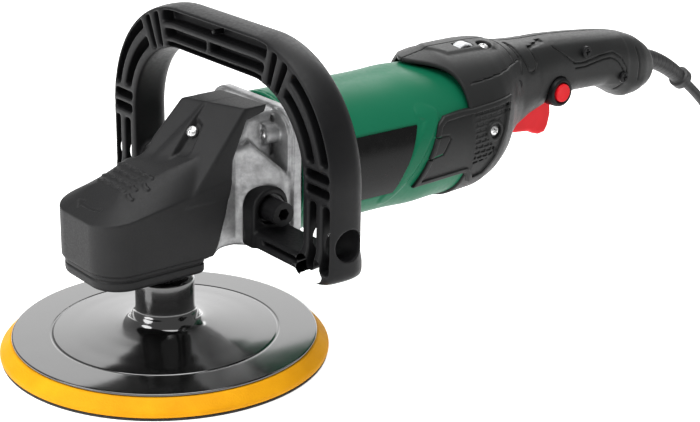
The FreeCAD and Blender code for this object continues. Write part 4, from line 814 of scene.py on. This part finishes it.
def build_head_cover():
    block = Block((-55, -34.6, 57), (49.6, 33, 141), STEP)
    x, y, z = block.x, block.y, block.z
    across = np.abs(y) - 12.1
    ahead = -34.5 - x
    plan = corner_round(ahead, across, 18.5)
    roof = cover_roof(x, -plan)
    body = meet((z - roof) * 0.9, plan, 0.5)
    rear = polygon(
        x,
        z,
        [(-70, 50), (9.2, 55.2), (15.3, 66.7), (20, 82.7), (24, 100), (24.6, 112)]
        + [(33.6, 132.6), (46, 135), (49.6, 140), (49.6, 150), (-70, 150)],
    )

    # the raised block over the gears: spine in front, leaning near panel, flat top
    spine = plane(x, y, z, [(25.8, 7.4, 139), (22.6, -7, 139), (3.6, -0.5, 119)], (40, 0, 100))
    panel = plane(x, y, z, [(22.6, -7, 139), (33, -32, 139), (4.6, -7.6, 115.6)], (40, -10, 100))
    flank = plane(x, y, z, [(33, -32, 139), (47.8, -29, 139), (22, -33.5, 112)], (30, 0, 120))
    back = plane(x, y, z, [(43.4, 7.8, 139), (47.8, -27.6, 139), (28, -10, 97)], (20, 0, 120))
    far = plane(x, y, z, [(25.8, 7.4, 139), (43.4, 7.8, 139), (20, 14, 100)], (30, -10, 110))
    raised = meet(meet(panel, flank, 2.2), far, 2.0)
    raised = meet(raised, z - 139, 0.9)
    nose = meet(meet(spine, far, 2.0), z - 139, 0.9)
    nose = meet(nose, -8.2 - y, 1.0)
    nose = meet(nose, meet(panel - 1.6, flank), 1.0)
    raised = join(raised, nose, 0.5)
    recess = meet(y + 8.3, -(y + 12.9 + 0.24 * (18.4 - x)), 0.6)
    recess = meet(recess, meet(x - 17.6, 3 - x), 1)
    raised = carve(raised, meet(recess, -(panel + 1.7), 0.3), 0.6)
    raised = meet(raised, 92 - z)
    raised = meet(raised, plan - 0.3, 1.5)
    outer = join(body, raised, 1.6)
    cover = meet(meet(outer, rear, 0.8), 60.6 - z, 1.4)
    cover = meet(cover, back, 0.8)

    # scalloped opening on the far side, and the hollow underneath
    scoop = np.sqrt((x - 2) ** 2 + (y - 22) ** 2 + ((z - 112) * 1.1) ** 2) - 13.5
    cover = carve(cover, scoop, 1.6)
    cover = carve(cover, outer + 2.4, 0)

    low, high = (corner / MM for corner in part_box("spindle_lock_button"))
    middle, radius = (low + high) / 2, (high.x - low.x) / 2 + 0.4
    cover = carve(cover, meet(rod(x, z, (middle.x, middle.z), radius), 20 - y), 0.3)

    # moulded grip dashes and the arrow
    rows = []
    for row in range(4):
        for col in range(5):
            cx = -31.0 + 4.9 * row
            cy = -17.5 + 7.4 * col + 3.7 * (row % 2)
            bend = 0.10 * (y - cy) ** 2
            rows.append(np.maximum(np.abs(x - cx - bend) - 0.95, np.abs(y - cy) - 2.6))
    dashes = rows[0]
    for row_field in rows[1:]:
        dashes = np.minimum(dashes, row_field)
    skin = (z - roof) * 0.9
    cover = join(cover, meet(dashes, np.abs(skin) - 0.9, 0.4), 0.3)
    cover = carve(cover, meet(arrow_field(x, y), np.abs(skin) - 0.8, 0.2), 0.2)
    sculpt("head_cover_shell", block, cover, "spark", "housing", ("head_cover",))


build_head_cover()


# ---------------------------------------------------------------- gear housing and its lower tier


def stroke(u, v, points):
    """Distance to an open polyline in two coordinates."""
    nearest = None
    for (ax, ay), (bx, by) in zip(points, points[1:]):
        ex, ey = bx - ax, by - ay
        along = np.clip(((u - ax) * ex + (v - ay) * ey) / (ex * ex + ey * ey), 0, 1)
        gap = np.hypot(u - ax - ex * along, v - ay - ey * along)
        nearest = gap if nearest is None else np.minimum(nearest, gap)
    return nearest


def build_gear_housing():
    block = Block((4, -42, 53), (65, 42, 137.4), STEP)
    x, y, z = block.x, block.y, block.z
    side = np.abs(y)
    flange = corner_round(side - 24.6, np.abs(z - MOTOR_AXIS) - 24.8, 15)
    plate = extrude(flange, slab(x, 57.5, 63.4), 1.0)
    lip = extrude(flange + 2.4, slab(x, 55.9, 60), 0.8)
    neck = polygon(x, z, [(8, 62), (24, 98), (30, 118), (37, 132.4), (60, 134.2), (60, 62)])
    neck = meet(meet(neck, side - 24, 5), z - 134.6, 2)
    drum = meet(rod(x, y, (0, 0), 28), slab(z, 58.5, 103), 2)
    body = join(neck, drum, 8)
    web = polygon(x, z, [(20, 62), (59, 58), (59, 97), (38, 119), (24, 112)])
    spread_out = side - 24 - 0.62 * np.maximum(x - 30, 0)
    gusset = meet(meet(web, spread_out, 2.5), side - 38, 2)
    body = join(body, gusset, 2.2)
    ear = meet(np.hypot(side - 24.6, z - 121) - 5.6, slab(x, 47.5, 60), 1.0)
    body = join(body, ear, 2.0)
    groove = meet(np.abs(side - 22.6) - 1.5, meet(slab(z, 108, 130), 54 - x), 1)
    body = carve(body, meet(groove, 40 - x), 1.2)
    body = join(join(body, plate, 2.5), lip, 1.5)
    body = meet(body, meet(x - 63.4, 58.5 - z), 0)
    bore = meet(rod(y, z, (0, MOTOR_AXIS), 33), 60 - x)
    body = carve(body, bore, 1)
    body = carve(body, meet(rod(x, y, (0, 0), 25.3), slab(z, 50, 98), 1), 0)
    sculpt(
        "gear_housing_casting", block, body, "cast", "housing", ("gear_housing",)
    )


def build_lower_tier():
    """Dark base of the gear head that the spindle comes out of."""
    block = Block((-53.5, -31.5, 50.4), (30, 31.5, 63), STEP)
    x, y, z = block.x, block.y, block.z
    across = np.abs(y) - 11.5
    ahead = -34.5 - x
    plan = corner_round(ahead, across, 17.2)
    plan = np.minimum(meet(plan, x - 8.6, 4), rod(x, y, (0, 0), 21))
    tier = extrude(plan, slab(z, 51.6, 62), 2.4)
    tier = carve(tier, rod(x, y, (0, 0), 10.6), 0.4)
    step = meet(slab(z, 57.2, 58.0), -(plan + 0.7))
    tier = carve(tier, step, 0.3)
    sculpt("gear_head_base", block, tier, "spark", "housing", ("bearing_cover",))


build_gear_housing()
build_lower_tier()


# ---------------------------------------------------------------- motor housing


def front_edge(turn):
    """Where the rear shells start along the motor, by the angle from the top."""
    return 185 - 20 * np.exp(-((turn / 0.42) ** 2))


def build_motor_housing():
    block = Block((62.4, -44, 51.6), (197, 44, 139), STEP * 1.15)
    x, y, z = block.x, block.y, block.z
    reach = np.hypot(y, z - MOTOR_AXIS)
    turn = np.abs(np.arctan2(y, z - MOTOR_AXIS))
    side = np.abs(y)
    flare = 0.9 * np.exp(-(((x - 158) / 13) ** 2))
    outer = reach - 40.75 - flare
    ridge_line = stroke(x, z, [(128, 70), (141.3, 90.7), (151.7, 106.4), (158.4, 115.4), (151.6, 118.6)])
    fade = np.clip((123 - z) / 6, 0, 1)
    raised = np.clip(1 - np.maximum(ridge_line - 3.4, 0) / 1.6, 0, 1)
    outer = outer - 0.9 * raised * fade * (side > 15)
    tube = meet(outer, 64.1 - x, 1.2)
    tube = meet(tube, x - front_edge(turn) - 8, 0.5)
    label = polygon(x, z, [(71.4, 73.4), (71.4, 112.6), (146.9, 112.6), (131.4, 73.4)])
    tube = carve(tube, meet(meet(label, 20 - side), -(outer + 0.35), 0.2), 0.2)
    tube = carve(tube, meet(reach - 38.5, 60 - x), 0)
    front_lip = meet(np.abs(x - 66.4) - 0.4, -(outer + 0.6))
    tube = carve(tube, front_lip, 0.2)
    sculpt(
        "motor_housing_shell", block, tube, "green", "housing", ("motor_housing",)
    )


build_motor_housing()


# ---------------------------------------------------------------- rear shells

SECTIONS = (
    # x, top, bottom, half width, squareness
    (140, 137.4, 52.6, 42.4, 2.0),
    (165, 140.2, 52.6, 42.4, 2.0),
    (184, 143.4, 53.0, 42.4, 2.1),
    (204, 143.4, 55.0, 42.4, 2.2),
    (214, 143.4, 59.0, 40.4, 2.25),
    (224, 143, 65.0, 35.5, 2.3),
    (233, 141.6, 74, 28.6, 2.35),
    (243, 139.6, 83, 24.2, 2.4),
    (258, 138.6, 90, 21.6, 2.4),
    (280, 138.3, 97, 19.6, 2.4),
    (300, 137, 99.6, 19.0, 2.4),
    (326, 134.6, 98.8, 19.0, 2.4),
    (340, 132.6, 92.0, 19.3, 2.4),
    (348, 131.0, 87.6, 19.3, 2.4),
    (358, 127.6, 88.2, 18.4, 2.3),
    (368, 121.6, 91.2, 15.4, 2.2),
    (374, 115, 96, 11.0, 2.1),
    (376.4, 109, 101, 5.0, 2.0),
)


def section_values(x, column, soften=7.0):
    """A column of the section table along x, smoothed where it bends."""
    table = np.array(SECTIONS, float)
    line = np.arange(120, 400, 0.5)
    values = np.interp(line, table[:, 0], table[:, column])
    window = np.hanning(int(soften / 0.5) + 2)
    smooth = np.convolve(np.pad(values, len(window), mode="edge"), window / window.sum(), "same")
    smooth = smooth[len(window) : -len(window)]
    return np.interp(x, line, smooth).astype(np.float32)


def rear_skin(x, y, z):
    """Field of the rear handle's outer skin."""
    top = section_values(x, 1)
    bottom = section_values(x, 2)
    half = section_values(x, 3)
    power = section_values(x, 4)
    middle, tall = (top + bottom) / 2, (top - bottom) / 2
    ratio = ((np.abs(y) / half) ** power + (np.abs(z - middle) / tall) ** power) ** (1 / power)
    skin = (ratio - 1) * np.minimum(half, tall) * 0.93
    return meet(skin, x - 376.0, 3)


VENT_OUTLINE = [
    (144.5, 74.5),
    (160.6, 110.2),
    (165.5, 113.6),
    (188, 115.4),
    (219.5, 117.9),
    (214.6, 106.4),
    (211.6, 97.5),
    (206.2, 83.1),
    (199.2, 71.4),
    (190, 68.4),
    (183.4, 76.8),
]
SLOT_OUTLINE = [
    (187.6, 113.0),
    (217.4, 115.6),
    (214.6, 109.6),
    (200.4, 104.4),
    (196.2, 96.5),
    (203.6, 88.6),
    (198.0, 83.4),
    (187.4, 81.6),
]
GRIP_LINES = (
    [(231.4, 143.5), (239, 143.0), (243.4, 137.3), (246.4, 128.5), (248.2, 123.8), (251, 122.6)]
    + [(254.8, 123.4), (257.0, 127.4), (255.2, 135.2), (270, 137.0)],
    [(274.6, 133.5), (281.3, 129.0), (290.5, 121.9), (299.1, 121.4), (314.2, 123.4)]
    + [(325.3, 123.8), (333.0, 119.6), (338.4, 112.2), (339.9, 104.7), (336.9, 97.0)],
    [(290.7, 118.9), (299.4, 118.4), (313.5, 120.4), (324.0, 120.8), (330.4, 117.2), (335.4, 111)]
    + [(336.9, 104.7)],
    [(349.6, 122.6), (351.4, 112), (351.2, 102.1)],
    [(240.4, 139), (242.6, 131), (240.2, 124.4)],
)


def build_rear_shells():
    block = Block((160, -44, 51), (377.4, 44, 145.6), STEP * 1.15)
    x, y, z = block.x, block.y, block.z
    side = np.abs(y)
    skin = rear_skin(x, y, z)
    turn = np.abs(np.arctan2(y, z - MOTOR_AXIS))

    # raised cap on top, with its own soft edge
    cap = polygon(x, y, [(188, -15), (226, -17), (233, -9), (233, 9), (226, 17), (188, 15), (180, 0)])
    cap = np.clip(-cap / 3.5, 0, 1) * np.clip((z - 125) / 8, 0, 1)
    skin = skin - 0.8 * cap * cap * (3 - 2 * cap)

    grooves = stroke(x, z, GRIP_LINES[0]) - 0.62
    for line in GRIP_LINES[1:]:
        grooves = np.minimum(grooves, stroke(x, z, line) - 0.62)
    grooves = np.maximum(grooves, 5 - side)
    seam = np.maximum(stroke(x, z, [(190, 127.8), (224.7, 130.6), (240.5, 131.6)]) - 0.35, 5 - side)
    split = side - 0.3
    ring = np.maximum(stroke(x, z, [(233.6, 146), (235.2, 132.5)]) - 0.35, 0)
    lines = np.minimum(np.minimum(grooves, seam), np.minimum(split, ring))
    shell = carve(skin, meet(lines, -(skin + 1.0), 0.2), 0.3)
    pads = meet(polygon(x, z, [(258, 136), (340, 131), (342, 100), (262, 102)]) - 1, 6 - side)
    shell = shell - 0.25 * np.clip(-pads / 2, 0, 1)
    pit = np.hypot(x - 219.8, y + 10.6) - 4.6
    shell = carve(shell, meet(pit, 140.4 - z, 0.5), 0.6)
    window = rounded_box(x, y, z, (200.4, -11.4, 132), (211.0, -3.0, 150), 1.2)
    shell = carve(shell, window, 0.9)

    inside = rear_skin(x, y, z) + 2.4
    shell = carve(shell, inside, 0)
    shell = meet(shell, front_edge(turn) - x, 0.8)
    trigger_room = polygon(
        x, z, [(234.5, 89), (236, 82), (258, 74), (285, 74), (286.5, 84), (286.5, 104), (236, 104)]
    )
    shell = carve(shell, meet(trigger_room, side - 8.2, 0.8), 0.5)
    collar = np.maximum(np.hypot(x - BUTTON_CENTRE[0], z - BUTTON_CENTRE[2]) - 9.6, y + 10)
    shell = carve(shell, collar, 0)
    shell = carve(shell, meet(np.hypot(y, z - 109) - 6.6, 360 - x), 0.8)
    for name, keep, node in (
        ("rear_shell_far", 0.12 - y, "rear_shell_left"),
        ("rear_shell_near", y + 0.12, "rear_shell_right"),
    ):
        sculpt(name, block, meet(shell, keep), "grey", "housing", (node,))


def build_vent_covers():
    sides = (("vent_cover_far", 1, "vent_cover_left"), ("vent_cover_near", -1, "vent_cover_right"))
    for name, sign, node in sides:
        low, high = sorted((sign * 18, sign * 45.5))
        block = Block((143, low, 66.5), (221, high, 120), STEP * 0.75)
        x, y, z = block.x, block.y, block.z
        shell = rear_skin(x, y, z) + 0.3 * np.clip(188 - x, 0, 20)
        skin = join(np.hypot(y, z - MOTOR_AXIS) - 42.4, shell - 0.5, 2)
        outline = polygon(x, z, VENT_OUTLINE) - 0.2
        cover = meet(extrude(outline, skin - 0.9, 0.8), -(skin + 2.4))
        field = meet(outline + 3.0, -(skin + 0.25), 0.4)
        cover = carve(cover, field, 0.5)
        lines = stroke(x, z, [(157.6, 103.0), (167.7, 102.7), (168.7, 100.7), (163, 92.4), (149.2, 90.6)])
        cover = carve(cover, meet(lines - 0.45, -(skin + 0.9), 0.2), 0.3)
        region = polygon(x, z, SLOT_OUTLINE)
        row = np.abs((z - 0.06 * x) % 3.3 - 1.65) - 0.85
        stagger = 2.2 * (np.floor((z - 0.06 * x) / 3.3) % 2)
        column = np.abs((x + stagger) % 4.4 - 2.2) - 1.75
        slots = np.maximum(np.maximum(row, column), region)
        cover = carve(cover, np.maximum(slots, -(skin + 2.1)), 0.2)
        boss = np.hypot(x - 202, z - 99.9)
        cover = join(cover, meet(meet(boss - 6.4, skin - 0.7, 0.8), -(skin + 2.4)), 0.6)
        cover = carve(cover, meet(boss - 4.4, -(skin + 1.6), 0.2), 0.5)
        sculpt(name, block, cover, "grey", "housing", (node,))


build_rear_shells()
build_vent_covers()


# ---------------------------------------------------------------- controls, sleeve and trim


TRIGGER_PIN = (241, 91)


def build_trigger():
    block = Block((234, -8, 74.6), (286, 8, 102), STEP * 0.7)
    x, y, z = block.x, block.y, block.z
    outline = [(236, 99.6), (236.4, 86), (240, 83), (250, 80.4), (258, 79.2), (266, 78.6)]
    outline += [(270, 76.6), (275, 75.2), (280, 76), (282.6, 80), (284.4, 88), (283, 99.6)]
    lever = meet(polygon(x, z, outline), slab(y, -7.5, 7.5), 2.6)
    finger = np.hypot(x - 256, z - 50) - 28.9
    lever = carve(lever, finger, 2.0)
    lever = carve(lever, rod(x, z, TRIGGER_PIN, 1.55))
    low, high = (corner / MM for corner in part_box("trigger_spring"))
    middle, radius = (low + high) / 2, (high.x - low.x) / 2 + 2.4
    lever = carve(lever, meet(rod(x, y, (middle.x, middle.y), radius), low.z - 7 - z), 0)
    sculpt("trigger_paddle", block, lever, "red", "trigger_lever", ("trigger",))


def build_lock_on_button():
    lathe(
        "lock_on_cap",
        rounded_path(
            [(0, -24.1), (3.6, -24.3), (5.2, -24.5), (5.7, -23.8), (5.7, -13.8), (0, -13.6)],
            [0, 0.8, 0.3, 0.4, 0.3, 0],
        ),
        "red",
        "lock_button",
        ("lock_on_button",),
        centre=BUTTON_CENTRE,
        axis="Y",
        segments=96,
    )
    lathe(
        "lock_on_collar",
        rounded_path(
            [(6.15, -13.6), (6.15, -22.6), (7.0, -23.4), (8.4, -23.2), (9.3, -21.0)]
            + [(9.3, -13.6), (6.15, -13.6)],
            [0, 0.5, 0.5, 0.9, 1.2, 0, 0],
        ),
        "handle",
        "housing",
        ("button_collar",),
        centre=BUTTON_CENTRE,
        axis="Y",
        segments=96,
    )


def build_speed_dial():
    """Thumb wheel with fine ribs round its rim."""
    block = Block((197.4, -12.4, 128.8), (214.6, 3.2, 145.9), STEP / 2)
    x, y, z = block.x, block.y, block.z
    u, v = x - 206, z - 137.3
    reach = np.hypot(u, v)
    turn = np.arctan2(v, u)
    rim = 7.75 + 0.25 * np.cos(turn * 36)
    wheel = meet(reach - rim, slab(y, -10.8, -3.6), 0.7)
    wheel = join(wheel, meet(reach - 5.2, slab(y, -10.0, 2.5), 0.3), 0.4)
    wheel = carve(wheel, meet(slab(reach, 3.4, 6.4), 1.9 - np.abs(y + 7.2), 0.3), 0.3)
    wheel = carve(wheel, reach - 2.05, 0)
    sculpt("thumb_wheel", block, wheel, "light", "dial", ("speed_dial",))


SLEEVE_ROUTE = [(362.0, 109.0), (376.3, 109.0), (387.0, 105.4), (398.0, 100.2), (409.0, 93.4)]
SLEEVE_ROUTE += [(CORD_EXIT[0], CORD_EXIT[2])]


def route_line(points):
    """Points read back from a smooth NURBS line through the middle plane."""
    data = bpy.data.curves.new("route", "CURVE")
    data.dimensions = "3D"
    data.resolution_u = 16
    spline = data.splines.new("NURBS")
    spline.points.add(len(points) - 1)
    for point, (px, pz) in zip(spline.points, points):
        point.co = (px, 0, pz, 1)
    spline.order_u = 3
    spline.use_endpoint_u = True
    holder = bpy.data.objects.new("route", data)
    mesh = bpy.data.meshes.new_from_object(holder)
    line = np.array([tuple(v.co) for v in mesh.vertices], float)
    bpy.data.objects.remove(holder)
    bpy.data.curves.remove(data)
    bpy.data.meshes.remove(mesh)
    return line


def build_sleeve():
    """Tapered strain relief with shallow bending rings and a thicker collar at its end."""
    line = route_line(SLEEVE_ROUTE)
    along = np.concatenate([[0], np.cumsum(np.linalg.norm(np.diff(line, axis=0), axis=1))])
    total = along[-1]
    at = np.linspace(0, total, 220)
    centre = np.stack([np.interp(at, along, line[:, k]) for k in range(3)], 1)
    way = np.gradient(centre, axis=0)
    way /= np.linalg.norm(way, axis=1)[:, None]
    radius = 6.25 - 1.2 * np.clip((at - 14) / (total - 14), 0, 1)
    radius = radius - 0.12 * (np.cos(at * 2 * np.pi / 4.4) > 0.72) * (at > 17) * (at < total - 10)
    collar = np.clip((at - (total - 8.2)) / 0.8, 0, 1) * np.clip((total - 1.2 - at) / 0.8, 0, 1)
    radius = radius + 2.1 * collar
    radius[at > total - 0.5] = 4.6
    radius[at < 13.5] = 5.4
    steps = 64
    angles = np.linspace(0, 2 * np.pi, steps, endpoint=False)
    lateral = np.array([0.0, 1.0, 0.0])
    rings = []
    for c, w, r in zip(centre, way, radius):
        normal = np.cross(w, lateral)
        rings.append(c + r * (np.cos(angles)[:, None] * lateral + np.sin(angles)[:, None] * normal))
    faces = ring_faces(len(rings), steps)
    piece = build_mesh("cord_strain_relief", np.concatenate(rings), faces, "rubber")
    close_ends(piece, weld=False)
    finish_piece(piece, "housing", ("cord_sleeve",))


def pan_screw(name, centre, direction, radius, height):
    """Pan-head screw with a cross recess, built on its own axis and turned into place."""
    size = radius + 0.6
    block = Block((-size, -size, -1.6), (size, size, height + 0.5), 0.2)
    x, y, z = block.x, block.y, block.z
    dome = np.sqrt(x**2 + y**2 + (z + radius * 1.3 - height) ** 2) - radius * 1.3
    head = meet(meet(dome, rod(x, y, (0, 0), radius), 0.5), -1.2 - z, 0.2)
    slot = np.minimum(
        np.maximum(np.abs(x) - 0.42, np.abs(y) - radius * 0.55),
        np.maximum(np.abs(y) - 0.42, np.abs(x) - radius * 0.55),
    )
    head = carve(head, np.maximum(slot, height * 0.25 - z), 0.2)
    points, faces = surface_mesh(block, head)
    turn = np.array(Vector((0, 0, 1)).rotation_difference(Vector(direction)).to_matrix())
    spin = np.array(Matrix.Rotation(0.5, 3, "Z"))
    points = points @ spin.T @ turn.T + np.array(centre)
    finish_piece(build_mesh(name, points, faces, "zinc"), "housing")


build_trigger()
build_lock_on_button()
build_speed_dial()
build_sleeve()
pan_screw("cover_screw", (12.9, -9.6, 125.0), (-0.74, -0.31, 0.6), 3.3, 1.9)
for side_name, sign in (("near", -1), ("far", 1)):
    pan_screw(f"ear_screw_{side_name}", (48.2, sign * 24.6, 121), (-1, 0, 0), 3.4, 2.0)
    pan_screw(f"vent_screw_{side_name}", (202, sign * 41.9, 99.9), (0, sign, 0.1), 3.3, 1.8)
pan_screw("cap_screw", (219.8, -10.6, 141.0), (0.02, -0.25, 1), 3.4, 1.8)

DARK_FASTENERS = ("handle_bolts", "shell_screws", "vent_cover_screws")
SLOT_FINISH = {
    "black_nylon": "handle",
    "gloss_black": "gloss",
    "grey_black_plastic": "grey",
    "green_plastic": "green",
    "red_plastic": "red",
    "light_plastic": "light",
    "yellow_foam": "foam",
    "hook_fabric": "hooks",
    "cast_aluminium": "cast",
    "steel": "steel",
    "zinc_steel": "zinc",
    "copper": "copper",
    "lamination": "iron",
    "carbon": "handle",
    "brass": "brass",
    "cord_rubber": "rubber",
    "label_film": "film",
}


def dress_cad_nodes():
    """Gives each CAD node that is kept a detailed material by its slot."""
    slots = {row["node"]: row["material_slot"] for row in frame["record"]["subparts"]}
    for name, node in frame["nodes"].items():
        finish = "handle" if name in DARK_FASTENERS else SLOT_FINISH[slots[name]]
        node.data.materials.clear()
        node.data.materials.append(MATERIALS[finish])


dress_cad_nodes()
